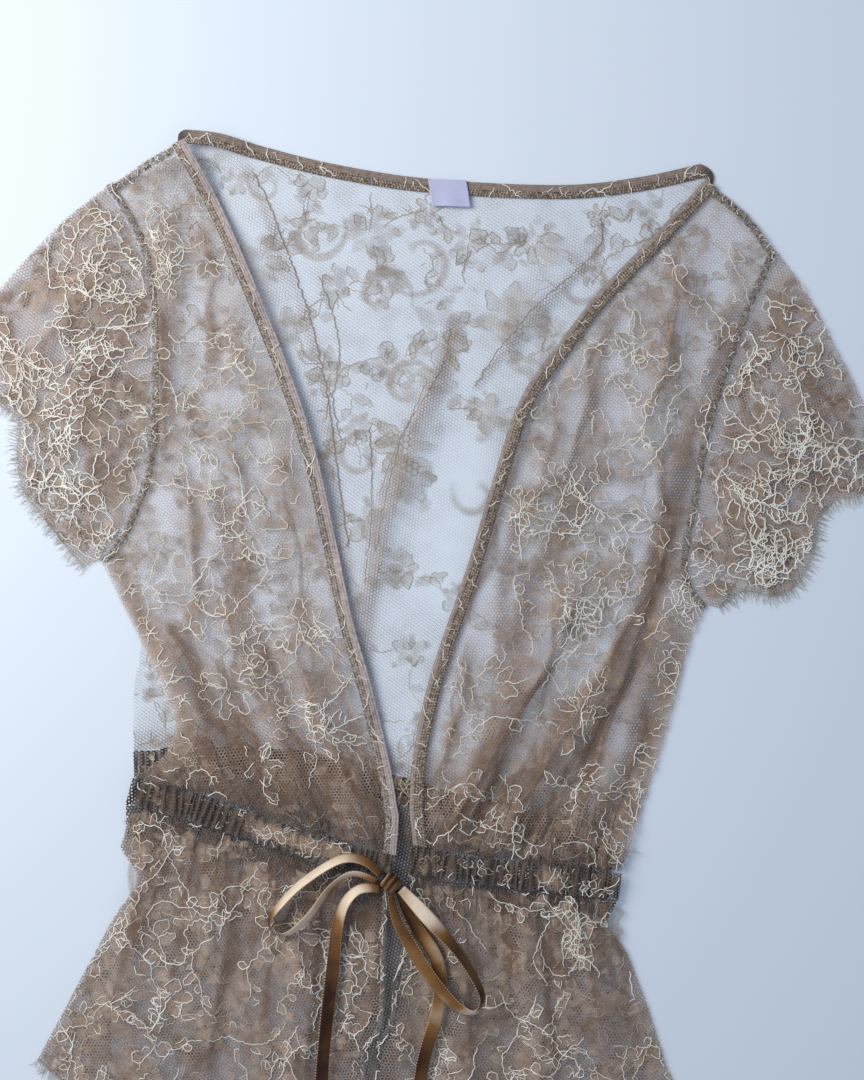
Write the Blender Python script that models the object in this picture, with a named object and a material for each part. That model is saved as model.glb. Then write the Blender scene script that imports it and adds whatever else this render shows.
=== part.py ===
"""Lace cover-up with short sleeves, a bound V neck, a gathered drawstring waist and a short skirt.

It lies flat on its back: +X is to the right as seen from above, +Y points to the neck, +Z is up.
All sizes below are in millimetres, and the meshes are written in metres.
"""

import math
from collections import namedtuple

import bmesh
import bpy
from mathutils import Matrix, Vector

MM = 0.001

# Cloth, seams and trims
WALL = 1.3
SEAM = 0.3
BINDING_WIDTH = 9.0
BINDING_WALL = 2.0
EDGE_WIDTH = 4.0
EDGE_WALL = 1.8
CASING_HEIGHT = 18.0
CASING_WALL = 1.4
GATHER_RISE = 1.6
POINTS_PER_GATHER = 4
GATHERS_BACK = 44
GATHERS_LEFT = 26
GATHERS_RIGHT = 22
RIBBON_WIDTH = 9.0
RIBBON_WALL = 1.0
LABEL_WIDTH = 25.0
LABEL_HEIGHT = 17.5
LABEL_WALL = 1.0
SCALLOP_WIDTH = 74.0
SCALLOP_DEPTH = 7.0
MESH_GAP = 6.0
MESH_BAR = 1.5
EYELASH_LENGTH = 6.5
EYELASH_WIDTH = 1.2
EYELASH_TIP = 0.35
EYELASH_STRIP = 2.4
EYELASH_LEAN = 0.35
EYELASH_UNEVEN = 0.25
LEAN_STEP = 2.4
UNEVEN_STEP = 1.7
SLEEVE_PUFF = 4.0
PUFF_START = 6.0
PUFF_FULL = 42.0
SLEEVE_BACK_SPREAD = 3.0
WAIST_EASE = CASING_HEIGHT / 2 + 2.0
ARMHOLE_SEAM = 0.36
RIBBON_INSET = 0.02

# Mesh divisions
ARMHOLE_ROWS = 12
SIDE_ROWS = 8
SHOULDER_COLUMNS = 3
NECK_COLUMNS = 16
FRONT_COLUMNS = 10
SLEEVE_ROWS = 6
SKIRT_ROWS = 9
SKIRT_BACK_COLUMNS = 28
SKIRT_FRONT_COLUMNS = 13
CURVE_STEPS = 16
EDGE_POINTS = 60
WAIST_POINTS = 80
RIBBON_COLUMNS = 14
LABEL_COLUMNS = 4
LABEL_ROWS = 2
SHARP_ANGLE = 40.0
SETTLE_RADIUS = 14.0

# Outlines, each a short row of stops from the neck down or from the left to the right
Stop = namedtuple("Stop", "x y")
LEFT_V = (Stop(-160, 328), Stop(-140, 292), Stop(-118, 243), Stop(-92, 178), Stop(-75, 126),
          Stop(-62, 68), Stop(-51, 16), Stop(-38, -30), Stop(-26, -82), Stop(-21, -114))
RIGHT_V = (Stop(179.5, 303), Stop(145, 266), Stop(110, 230), Stop(82, 194), Stop(58, 159),
           Stop(40, 106), Stop(25, 55), Stop(-1, -23), Stop(-12, -75), Stop(-14, -108))
LEFT_ARMHOLE = (Stop(-212, 298), Stop(-192, 262), Stop(-184, 224), Stop(-183, 159),
                Stop(-187, 113), Stop(-202, 74), Stop(-216, 55))
RIGHT_ARMHOLE = (Stop(226, 255), Stop(204, 204), Stop(185, 146), Stop(175, 94),
                 Stop(168, 48), Stop(180, 25))
LEFT_SIDE_BACK = (Stop(-216, 55), Stop(-203, 29), Stop(-190, 3), Stop(-194, -30))
LEFT_SIDE_FRONT = (Stop(-216, 55), Stop(-203, 29), Stop(-190, 3), Stop(-176, -23),
                   Stop(-166, -52), Stop(-176, -76))
LEFT_SHOULDER = Stop(-186, 313)
RIGHT_SHOULDER = Stop(207, 280)
RIGHT_SIDE = (Stop(180, 25), Stop(168, -4), Stop(157, -46), Stop(146, -82), Stop(134, -118))
BACK_NECK = (Stop(-158, 325), Stop(-140, 323), Stop(-118, 317), Stop(-66, 304), Stop(-1, 294),
             Stop(84, 290), Stop(136, 295), Stop(178, 304))
WAIST_BACK = (Stop(-194, -79), Stop(-130, -76), Stop(-66, -82), Stop(0, -102),
              Stop(58, -115), Stop(121, -140))
WAIST_LEFT = (Stop(-196, -95), Stop(-157, -105), Stop(-111, -120), Stop(-66, -135),
              Stop(-25, -146))
WAIST_RIGHT = (Stop(-13, -140), Stop(40, -148), Stop(123, -157))
SKIRT_LEFT = (Stop(-199, -121), Stop(-202, -134), Stop(-191, -153), Stop(-207, -179),
              Stop(-225, -212), Stop(-242, -244), Stop(-257, -272))
SKIRT_RIGHT = (Stop(115, -183), Stop(126, -199), Stop(136, -222), Stop(146, -251),
               Stop(157, -283), Stop(182, -320))
SKIRT_EDGE_LEFT = (Stop(-29, -192), Stop(-31, -246), Stop(-41, -263), Stop(-42, -283),
                   Stop(-44, -326))
SKIRT_EDGE_RIGHT = (Stop(-16, -188), Stop(-21, -203), Stop(-25, -222), Stop(-27, -244),
                    Stop(-36, -262), Stop(-38, -283), Stop(-40, -327))
HEM = (Stop(-257, -272), Stop(-200, -297), Stop(-120, -317), Stop(-44, -326), Stop(1, -330),
       Stop(60, -332), Stop(130, -328), Stop(182, -320))
HEM_LEFT = HEM[:3]
HEM_RIGHT = HEM[5:]
LEFT_OVERARM = (Stop(-212, 298), Stop(-241, 275), Stop(-267, 248), Stop(-287, 224),
                Stop(-295, 205))
LEFT_SLEEVE_HEM = (Stop(-295, 205), Stop(-294, 182), Stop(-284, 160), Stop(-268, 149),
                   Stop(-268, 126), Stop(-264, 101), Stop(-250, 82), Stop(-238, 67),
                   Stop(-225, 51))
RIGHT_OVERARM = (Stop(226, 255), Stop(244, 231), Stop(263, 196), Stop(281, 160), Stop(293, 124))
RIGHT_SLEEVE_HEM = (Stop(293, 124), Stop(282, 100), Stop(264, 96), Stop(251, 82), Stop(248, 61),
                    Stop(237, 40), Stop(224, 33), Stop(204, 37), Stop(187, 25))

# Flowers of the back whose open centres are wide enough to cut through
BACK_GAPS = (Stop(-112, 262), Stop(66, 196), Stop(-10, 172), Stop(-24, 144), Stop(-8, 86),
             Stop(40, 240), Stop(-66, 228), Stop(-50, 110))

# Upper left corner of the neck label
LABEL_CORNER = Stop(-2.0, 302.5)

# Folds, each a soft ridge along a line: half is the half width, rise the height at its crest
Fold = namedtuple("Fold", "x0 y0 x1 y1 half rise")
BACK_FOLDS = (
    Fold(-196, 322, -112, 340, 30, 5.0),
    Fold(103, 272, 32, 178, 20, 5.0),
    Fold(9, 192, -45, 20, 20, 5.0),
    Fold(-131, 308, -66, 55, 19, 4.0),
    Fold(70, 200, 5, 60, 18, 2.5),
    Fold(-150, -62, -150, 20, 18, 2.5),
    Fold(-60, -62, -52, 30, 18, 3.0),
    Fold(70, -105, 90, -10, 18, 2.5),
)
LEFT_FOLDS = (
    Fold(-196, 320, -130, 300, 30, 4.0),
    Fold(-172, 292, -168, 130, 17, 3.0),
    Fold(-108, -124, -190, 10, 18, 5.5),
    Fold(-68, -136, -136, 40, 16, 4.0),
    Fold(-34, -142, -98, 20, 17, 5.5),
    Fold(-120, 250, -135, 90, 20, 3.0),
)
RIGHT_FOLDS = (
    Fold(4, -142, 104, 56, 18, 5.5),
    Fold(30, -150, 144, 10, 18, 5.5),
    Fold(88, -156, 168, 50, 17, 4.5),
    Fold(172, 272, 136, 100, 20, 4.0),
    Fold(112, 200, 60, 60, 20, 3.0),
)
SKIRT_BACK_FOLDS = (
    Fold(-150, -80, -196, -330, 22, 4.0),
    Fold(-92, -84, -112, -350, 22, 3.5),
    Fold(-38, -96, -40, -360, 22, 4.5),
    Fold(16, -108, 26, -366, 22, 3.5),
    Fold(70, -122, 98, -360, 22, 4.0),
)
SKIRT_LEFT_FOLDS = (
    Fold(-176, -96, -226, -320, 18, 4.0),
    Fold(-128, -110, -160, -346, 18, 5.0),
    Fold(-78, -126, -90, -360, 17, 4.0),
)
SKIRT_RIGHT_FOLDS = (
    Fold(16, -138, 24, -370, 17, 4.5),
    Fold(58, -144, 78, -370, 17, 4.0),
    Fold(98, -148, 136, -366, 17, 4.5),
)
FOLD_TAPER = 0.22

# Ribbon routes: lift is the height over the cloth below, roll the turn about its own length
Lay = namedtuple("Lay", "x y lift roll width")
KNOT = Stop(-26, -153.4)
KNOT_SIZE = (8.0, 7.2, 4.5)
KNOT_NEAR = 10.0
KNOT_FAR = 34.0
LOOP_LEFT = (
    Lay(-32.2, -148.4, 5.4, 20, 4), Lay(-43, -139, 5.4, 50, 7), Lay(-59, -138, 5.4, 57, 9),
    Lay(-83, -153, 5.2, 57, 9), Lay(-98, -168, 5.2, 66, 9), Lay(-104.5, -178, 5.4, 74, 9),
    Lay(-101, -186, 5.4, 74, 9), Lay(-91, -186, 5.2, 66, 9), Lay(-78, -174.5, 5.2, 57, 9),
    Lay(-64, -156, 5.2, 58, 8), Lay(-50, -147.5, 5.0, 46, 6), Lay(-34.4, -153.2, 4.6, 10, 4),
)
TAIL_LEFT = (
    Lay(-32.6, -157.9, 2.4, 25, 3), Lay(-46, -157.5, 4.2, 40, 7), Lay(-55.5, -166.5, 4.6, 48, 9),
    Lay(-61, -184, 3.8, 34, 9), Lay(-63.5, -209, 2.2, 12, 9), Lay(-66.5, -234, 2.2, -12, 9),
    Lay(-69.5, -264, 3.0, -25, 9), Lay(-71, -288, 2.4, -14, 9), Lay(-71.5, -306, 1.8, 0, 9),
)
LOOP_RIGHT = (
    Lay(-19.2, -157.2, 6.1, 0, 4), Lay(-4, -173, 8.0, -24, 8), Lay(15.6, -195, 6.8, -30, 9),
    Lay(28, -214, 6.0, -48, 9), Lay(33.5, -228, 5.6, -66, 9), Lay(28, -237, 5.6, -66, 9),
    Lay(15.6, -232, 6.0, -52, 9), Lay(-0.7, -213, 7.6, -42, 9), Lay(-13, -194, 7.4, -36, 8),
    Lay(-22, -177, 6.6, -24, 6), Lay(-26.0, -160.8, 5.5, 0, 4),
)
TAIL_RIGHT = (
    Lay(-21.8, -158.6, 1.9, 0, 4), Lay(-10.4, -182, 1.9, 4, 8), Lay(3, -202, 1.9, 0, 9),
    Lay(6, -222, 1.8, -4, 9), Lay(3.4, -241, 1.9, -8, 9), Lay(-2.6, -261, 2.2, -14, 9),
    Lay(-6.5, -280, 2.2, -12, 9), Lay(-7.2, -302, 1.8, 0, 9),
)
LOOP_SEGMENTS = 28
TAIL_SEGMENTS = 18

# Finishes: base colour and roughness
LACE_COLOUR = (0.42, 0.36, 0.33, 1.0)
BINDING_COLOUR = (0.26, 0.21, 0.18, 1.0)
RIBBON_COLOUR = (0.20, 0.10, 0.05, 1.0)
LABEL_COLOUR = (0.80, 0.80, 0.84, 1.0)
EYELASH_COLOUR = (0.50, 0.44, 0.39, 1.0)


def clear_scene():
    for item in list(bpy.data.objects):
        bpy.data.objects.remove(item, do_unlink=True)


def finish(name, colour, roughness):
    """A cloth finish for one piece."""
    material = bpy.data.materials.new(name)
    material.use_nodes = True
    shader = material.node_tree.nodes["Principled BSDF"]
    shader.inputs["Base Color"].default_value = colour
    shader.inputs["Roughness"].default_value = roughness
    shader.inputs["Metallic"].default_value = 0.0
    return material


def through(points):
    """A fine polyline along the smooth curve that passes through the given points."""
    padded = [points[0], *points, points[-1]]
    fine = []
    for a, b, c, d in zip(padded, padded[1:], padded[2:], padded[3:]):
        for step in range(CURVE_STEPS):
            t = step / CURVE_STEPS
            fine.append(tuple(
                0.5 * (2 * q + (r - p) * t + (2 * p - 5 * q + 4 * r - s) * t * t
                       + (3 * q - p - 3 * r + s) * t ** 3)
                for p, q, r, s in zip(a, b, c, d)))
    fine.append(tuple(points[-1]))
    return fine


def resample(points, count, start=0.0, end=1.0):
    """count + 1 even steps along the smooth curve, from one share of its length to another."""
    fine = through(points)
    runs = [0.0]
    for a, b in zip(fine, fine[1:]):
        runs.append(runs[-1] + math.dist(a[:2], b[:2]))
    stops = []
    place = 0
    for index in range(count + 1):
        wanted = runs[-1] * (start + (end - start) * index / count)
        while place < len(runs) - 2 and runs[place + 1] < wanted:
            place += 1
        share = (wanted - runs[place]) / max(runs[place + 1] - runs[place], 1e-9)
        stops.append(tuple(p + (q - p) * share for p, q in zip(fine[place], fine[place + 1])))
    return stops


def length_of(points):
    fine = through(points)
    return sum(math.dist(a, b) for a, b in zip(fine, fine[1:]))


def offset(points, distance):
    """The curve moved sideways in plan, to the left of its own direction where distance is positive."""
    moved = []
    for index, (x, y) in enumerate(points):
        before = points[max(index - 1, 0)]
        after = points[min(index + 1, len(points) - 1)]
        run = math.dist(before, after)
        moved.append((x - (after[1] - before[1]) / run * distance,
                      y + (after[0] - before[0]) / run * distance))
    return moved


def coons(top, bottom, left, right):
    """Rows of plan points that fill four edges."""
    columns = len(top) - 1
    rows = len(left) - 1
    grid = []
    for j in range(rows + 1):
        v = j / rows
        row = []
        for i in range(columns + 1):
            u = i / columns
            row.append(tuple(
                (1 - v) * top[i][k] + v * bottom[i][k] + (1 - u) * left[j][k] + u * right[j][k]
                - (1 - u) * (1 - v) * left[0][k] - u * (1 - v) * right[0][k]
                - (1 - u) * v * left[rows][k] - u * v * right[rows][k]
                for k in range(2)))
        grid.append(row)
    return grid


def ease(value):
    value = min(max(value, 0.0), 1.0)
    return value * value * (3 - 2 * value)


def fold_rise(folds, x, y):
    """Height of the soft ridges at a point of the cloth, nothing away from them."""
    rise = 0.0
    for fold in folds:
        along_x = fold.x1 - fold.x0
        along_y = fold.y1 - fold.y0
        run = math.hypot(along_x, along_y)
        along = ((x - fold.x0) * along_x + (y - fold.y0) * along_y) / run ** 2
        across = abs((x - fold.x0) * along_y - (y - fold.y0) * along_x) / run
        if 0 < along < 1 and across < fold.half:
            crest = math.cos(math.pi / 2 * across / fold.half) ** 2
            rise = max(rise, fold.rise * crest * ease(along / FOLD_TAPER) * ease((1 - along) / FOLD_TAPER))
    return rise


def near(curve, x, y, full, gone):
    """1 within the full distance of a curve in plan, falling to 0 at the distance gone."""
    nearest = min(math.dist(point, (x, y)) for point in curve)
    return ease((gone - nearest) / (gone - full))


def settled(height, x, y):
    """The highest value of a lower layer round a point, which cloth laid on it bridges."""
    highest = height(x, y)
    for ring in (0.5, 1.0):
        for step in range(8):
            angle = math.pi * step / 4
            highest = max(highest, height(x + SETTLE_RADIUS * ring * math.cos(angle),
                                          y + SETTLE_RADIUS * ring * math.sin(angle)))
    return highest


WAIST_BACK_LINE = resample(WAIST_BACK, EDGE_POINTS)
WAIST_FRONT_LINE = resample(WAIST_LEFT, EDGE_POINTS // 2) + resample(WAIST_RIGHT, EDGE_POINTS // 2)


def back_under(x, y):
    """Underside of the back layer: flat on the table but for its folds."""
    return fold_rise(BACK_FOLDS + SKIRT_BACK_FOLDS, x, y)


def back_top(x, y):
    gathers = GATHER_RISE * near(WAIST_BACK_LINE, x, y, WAIST_EASE, CASING_HEIGHT)
    return max(back_under(x, y), gathers) + WALL + (CASING_WALL - WALL) * (gathers > 0)


def on_back(x, y):
    """Where the layer next above the back comes to lie."""
    return settled(back_top, x, y) + SEAM


def front_under(x, y):
    """Underside of the fronts: on the back, over the ribbon at the waist, with their own folds."""
    ribbon = (RIBBON_WALL + 2 * SEAM) * near(WAIST_FRONT_LINE, x, y, WAIST_EASE, 2 * CASING_HEIGHT)
    folds = fold_rise(LEFT_FOLDS + RIGHT_FOLDS + SKIRT_LEFT_FOLDS + SKIRT_RIGHT_FOLDS, x, y)
    return on_back(x, y) + ribbon + folds


def front_top(x, y):
    gathers = GATHER_RISE * near(WAIST_FRONT_LINE, x, y, WAIST_EASE, CASING_HEIGHT)
    return front_under(x, y) + WALL + gathers


def on_front(x, y):
    return settled(front_top, x, y) + SEAM


def sleeve_puff(x, y, edge):
    """Rise of a sleeve's front half between its seams."""
    return SLEEVE_PUFF * (1 - near(edge, x, y, PUFF_START, PUFF_FULL))


def place_mesh(name, bm, material):
    """Turn a finished bmesh, in millimetres, into one closed named object in metres."""
    bmesh.ops.recalc_face_normals(bm, faces=bm.faces[:])
    bmesh.ops.scale(bm, vec=(MM, MM, MM), verts=bm.verts[:])
    mesh = bpy.data.meshes.new(name)
    bm.to_mesh(mesh)
    bm.free()
    mesh.shade_smooth()
    mesh.set_sharp_from_angle(angle=math.radians(SHARP_ANGLE))
    mesh.materials.append(material)
    item = bpy.data.objects.new(name, mesh)
    bpy.context.scene.collection.objects.link(item)
    return item


def wall(bm, thickness):
    """Give an open sheet its thickness, upwards, with closed edges round it and round its gaps."""
    grown = bmesh.ops.extrude_face_region(bm, geom=bm.faces[:], use_keep_orig=True)
    upper = [item for item in grown["geom"] if isinstance(item, bmesh.types.BMVert)]
    bmesh.ops.translate(bm, verts=upper, vec=(0, 0, thickness))


def sheet(grid, height):
    """An open sheet through rows of plan points, at the given heights."""
    rows = len(grid) - 1
    columns = len(grid[0]) - 1
    bm = bmesh.new()
    bmesh.ops.create_grid(bm, x_segments=columns, y_segments=rows, size=0.5)
    for vert in bm.verts:
        i = round((vert.co.x + 0.5) * columns)
        j = round((0.5 - vert.co.y) * rows)
        x, y = grid[j][i]
        vert.co = (x, y, height(x, y, i, j))
    return bm


def cut_gaps(bm, grid, cells):
    """Open one lace gap in the middle of each listed cell, a row and a column each."""
    centres = []
    for j, i in cells:
        corners = (grid[j][i], grid[j][i + 1], grid[j + 1][i], grid[j + 1][i + 1])
        centres.append(tuple(sum(corner[k] for corner in corners) / 4 for k in range(2)))
    chosen = []
    for face in bm.faces:
        middle = face.calc_center_median()
        if any(math.dist(centre, middle[:2]) < 0.1 for centre in centres):
            chosen.append(face)
    roomy = [face for face in chosen
             if min(edge.calc_length() for edge in face.edges) > MESH_GAP + 2 * MESH_BAR]
    bmesh.ops.inset_individual(bm, faces=roomy, thickness=MESH_BAR)
    for face in roomy:
        middle = face.calc_center_median()
        for vert in face.verts:
            vert.co = middle + (vert.co - middle).normalized() * MESH_GAP / math.sqrt(2)
    bmesh.ops.delete(bm, geom=roomy, context="FACES_ONLY")


def nearest_cell(grid, stop):
    """The row and column of the cell whose corner lies nearest a stop."""
    cells = [(j, i) for j in range(len(grid) - 1) for i in range(len(grid[0]) - 1)]
    return min(cells, key=lambda cell: math.dist(grid[cell[0]][cell[1]], stop))


def panel(name, grid, height, material, thickness=WALL, gaps=()):
    bm = sheet(grid, height)
    if gaps:
        cut_gaps(bm, grid, gaps)
    wall(bm, thickness)
    return place_mesh(name, bm, material)


def strip(name, inner, outer, height, material, thickness):
    """A narrow trim between two edge curves that have the same number of points."""
    return panel(name, [list(inner), list(outer)], lambda x, y, i, j: height(x, y), material, thickness)


def scalloped(points, count):
    """A hem with its scallops: even steps along the curve, pulled in at each notch."""
    plain = resample(points, count)
    scallops = max(round(length_of(points) / SCALLOP_WIDTH), 1)
    hem = []
    for index, (x, y) in enumerate(plain):
        before = plain[max(index - 1, 0)]
        after = plain[min(index + 1, count)]
        run = math.dist(before, after)
        depth = SCALLOP_DEPTH * abs(math.sin(math.pi * scallops * index / count))
        hem.append((x + (after[1] - before[1]) / run * depth, y - (after[0] - before[0]) / run * depth))
    return hem


def eyelash(name, hem, side, height, material):
    """Eyelash edge: a narrow strip just past the hem, with tapered strands fused to its outer face."""
    moved = offset(hem, side * (SEAM + EYELASH_STRIP))
    base = [hem[0]]
    outer = [moved[0]]
    for index in range(1, len(hem) - 1):
        corner = Vector(hem[index])
        shift = Vector(moved[index]) - corner
        for end in (hem[index - 1], hem[index + 1]):
            root = corner + (Vector(end) - corner).normalized() * EYELASH_WIDTH / 2
            base.append(tuple(root))
            outer.append(tuple(root + shift))
    base.append(hem[-1])
    outer.append(moved[-1])
    inner = offset(base, side * SEAM)
    bm = sheet([inner, outer], lambda x, y, i, j: height(x, y))
    wall(bm, WALL)
    bmesh.ops.recalc_face_normals(bm, faces=bm.faces[:])
    roots = []
    for index in range(1, len(outer) - 1, 2):
        middle = (Vector(outer[index]) + Vector(outer[index + 1])) / 2
        for face in bm.faces:
            centre = face.calc_center_median()
            if abs(face.normal.z) < 0.6 and (centre.xy - middle).length < 0.1:
                roots.append((index, face))
    grown = bmesh.ops.extrude_discrete_faces(bm, faces=[face for _, face in roots])
    for (index, _), tip in zip(roots, grown["faces"]):
        centre = tip.calc_center_median()
        outwards = Vector(outer[index]) - Vector(inner[index])
        lean = EYELASH_LEAN * math.sin(LEAN_STEP * index)
        reach = outwards.normalized() * EYELASH_LENGTH * (1 + EYELASH_UNEVEN * math.sin(UNEVEN_STEP * index))
        turned = reach @ Matrix.Rotation(lean, 2)
        for vert in tip.verts:
            vert.co = centre + (vert.co - centre) * EYELASH_TIP + Vector((turned.x, turned.y, 0))
    return place_mesh(name, bm, material)


def ribbon(name, route, segments, base, material):
    """A flat ribbon along its route, turned about its length by each stop's roll."""
    stations = resample(route, segments)
    bm = bmesh.new()
    rings = []
    for index, (x, y, lift, roll, width) in enumerate(stations):
        before = stations[max(index - 1, 0)]
        after = stations[min(index + 1, segments)]
        along = Vector((after[0] - before[0], after[1] - before[1], 0)).normalized()
        side = Vector((-along.y, along.x, 0))
        turn = Matrix.Rotation(math.radians(roll), 3, along)
        across = turn @ side * (width / 2)
        up = turn @ Vector((0, 0, RIBBON_WALL / 2))
        centre = Vector((x, y, base(x, y) + lift))
        corners = (across + up, -across + up, -across - up, across - up)
        rings.append([bm.verts.new(centre + corner) for corner in corners])
    for first, second in zip(rings, rings[1:]):
        for k in range(4):
            bm.faces.new((first[k], first[k - 1], second[k - 1], second[k]))
    bm.faces.new(rings[0])
    bm.faces.new(rings[-1])
    return place_mesh(name, bm, material)


def smooth_base(x, y):
    """A calm height under the bow, so its ribbons don't copy every fold below them."""
    steps = (-RIBBON_WIDTH, 0, RIBBON_WIDTH)
    return max(on_front(x + dx, y + dy) for dx in steps for dy in steps)


def from_knot(base):
    """Heights under the bow that start level with the knot's seat and settle to the given base."""
    seat = on_front(KNOT.x, KNOT.y)

    def height(x, y):
        away = ease((math.dist((x, y), KNOT) - KNOT_NEAR) / (KNOT_FAR - KNOT_NEAR))
        return seat + (base(x, y) - seat) * away

    return height


def knot(material):
    """The tied middle of the bow, a small rounded lump on the casing's inner end."""
    bm = bmesh.new()
    bmesh.ops.create_uvsphere(bm, u_segments=12, v_segments=8, radius=1.0)
    bmesh.ops.scale(bm, vec=KNOT_SIZE, verts=bm.verts[:])
    floor = on_front(KNOT.x, KNOT.y)
    bmesh.ops.translate(bm, vec=(KNOT.x, KNOT.y, floor + KNOT_SIZE[2]), verts=bm.verts[:])
    return place_mesh("ribbon_knot", bm, material)


def gathered(name, line, gathers, base, material):
    """A waist casing: a strip whose wall waves up and down once for each gather."""
    count = gathers * POINTS_PER_GATHER
    centre = resample(line, count)
    upper = offset(centre, CASING_HEIGHT / 2)
    lower = offset(centre, -CASING_HEIGHT / 2)

    def height(x, y, i, j):
        wave = 0.5 - 0.5 * math.cos(2 * math.pi * i / POINTS_PER_GATHER)
        lowest = max(base(*edge[i]) for edge in (upper, centre, lower))
        return lowest + GATHER_RISE * wave

    return panel(name, [upper, lower], height, material, CASING_WALL)


def waist_edge(line, count, side, start=0.0, end=1.0):
    """The edge of a panel that meets a casing, above it or below it."""
    middle = resample(line, WAIST_POINTS)
    return resample(offset(middle, side * (CASING_HEIGHT / 2 + SEAM)), count, start, end)


def flat_back(x, y, i=0, j=0):
    return back_under(x, y)


def on_back_front(x, y, i=0, j=0):
    return front_under(x, y)


def make_back(lace, binding):
    bottom = waist_edge(WAIST_BACK, NECK_COLUMNS + 2 * SHOULDER_COLUMNS, 1)
    left = resample(LEFT_ARMHOLE, ARMHOLE_ROWS)[:-1] + resample((*LEFT_SIDE_BACK, bottom[0]), SIDE_ROWS)
    right = resample(RIGHT_ARMHOLE, ARMHOLE_ROWS)[:-1] + resample((*RIGHT_SIDE, bottom[-1]), SIDE_ROWS)
    neck = resample(BACK_NECK, NECK_COLUMNS)
    top = (resample((left[0], LEFT_SHOULDER, neck[0]), SHOULDER_COLUMNS)[:-1] + neck[:-1]
           + resample((neck[-1], RIGHT_SHOULDER, right[0]), SHOULDER_COLUMNS))
    grid = coons(top, bottom, left, right)
    panel("back_bodice", grid, flat_back, lace, gaps=[nearest_cell(grid, gap) for gap in BACK_GAPS])
    strip("neck_binding_back", offset(neck, SEAM), offset(neck, SEAM + BINDING_WIDTH), back_under,
          binding, BINDING_WALL)


def make_front(name, binding_name, v_edge, side, armhole, side_edge, waist, lace, binding):
    """One front with its V binding; side is -1 for the left front and 1 for the right."""
    rows = ARMHOLE_ROWS + SIDE_ROWS
    waist_length = length_of(waist)
    band_share = (BINDING_WIDTH + SEAM) / waist_length
    binding_share = BINDING_WIDTH / waist_length
    if side < 0:
        bottom = waist_edge(waist, FRONT_COLUMNS, 1, 0.0, 1 - band_share)
        meeting = waist_edge(waist, 1, 1, 1 - binding_share, 1.0)
        corner, inner_end, outer_end = bottom[0], meeting[1], meeting[0]
        panel_end = bottom[-1]
    else:
        bottom = waist_edge(waist, FRONT_COLUMNS, 1, band_share, 1.0)
        meeting = waist_edge(waist, 1, 1, 0.0, binding_share)
        corner, inner_end, outer_end = bottom[-1], meeting[0], meeting[1]
        panel_end = bottom[0]
    fine = resample(v_edge, EDGE_POINTS)
    inner = resample((*fine, inner_end), rows)
    outer = resample((*offset(fine, side * BINDING_WIDTH), outer_end), rows)
    strip(binding_name, inner, outer, front_under, binding, BINDING_WALL)
    cut = resample((*offset(fine, side * (BINDING_WIDTH + SEAM)), panel_end), rows)
    seam = resample(armhole, ARMHOLE_ROWS)[:-1] + resample((*side_edge, corner), SIDE_ROWS)
    if side < 0:
        shoulder = resample((seam[0], LEFT_SHOULDER, cut[0]), FRONT_COLUMNS)
        grid = coons(shoulder, bottom, seam, cut)
    else:
        shoulder = resample((cut[0], RIGHT_SHOULDER, seam[0]), FRONT_COLUMNS)
        grid = coons(shoulder, bottom, cut, seam)
    panel(name, grid, on_back_front, lace)


def sleeve_gaps():
    """Cells of the open mesh next to a sleeve's hem, a staggered pair of rows."""
    last = SLEEVE_ROWS - 1
    return ([(last, i) for i in range(1, ARMHOLE_ROWS - 1, 2)]
            + [(last - 1, i) for i in range(2, ARMHOLE_ROWS - 2, 2)])


def make_sleeve(side_name, armhole, overarm, hem, side, lace, eyelashes):
    """One sleeve: two halves joined along the arm's top and underarm, each with its eyelash edge."""
    seam = offset(resample(armhole, ARMHOLE_ROWS), side * ARMHOLE_SEAM)
    for half, spread, lift in (("back", SLEEVE_BACK_SPREAD, 0.0), ("front", 0.0, WALL + SEAM)):
        edge = offset(resample(hem, EDGE_POINTS), side * spread)
        bottom = resample(edge, ARMHOLE_ROWS)
        left = resample((seam[0], *overarm[1:-1], bottom[0]), SLEEVE_ROWS)
        right = resample((seam[-1], bottom[-1]), SLEEVE_ROWS)
        border = left + right + seam + bottom

        def height(x, y, i=0, j=0, lift=lift, border=border):
            return lift + (sleeve_puff(x, y, border) if lift else 0.0)

        panel(f"sleeve_{side_name}_{half}", coons(seam, bottom, left, right), height, lace,
              gaps=sleeve_gaps())
        eyelash(f"eyelash_sleeve_{side_name}_{half}", bottom, side, height, eyelashes)


def hem_gaps(columns):
    return [(SKIRT_ROWS - 1, i) for i in range(1, columns - 1, 2)]


def make_skirt(lace, edging, eyelashes):
    top = waist_edge(WAIST_BACK, SKIRT_BACK_COLUMNS, -1)
    bottom = scalloped(HEM, SKIRT_BACK_COLUMNS)
    left = resample((top[0], *SKIRT_LEFT), SKIRT_ROWS)
    right = resample((top[-1], *SKIRT_RIGHT), SKIRT_ROWS)
    panel("skirt_back", coons(top, bottom, left, right), flat_back, lace,
          gaps=hem_gaps(SKIRT_BACK_COLUMNS))
    eyelash("eyelash_skirt_back", bottom, -1, back_under, eyelashes)

    for side in (-1, 1):
        make_skirt_front(side, lace, edging, eyelashes)


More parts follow.
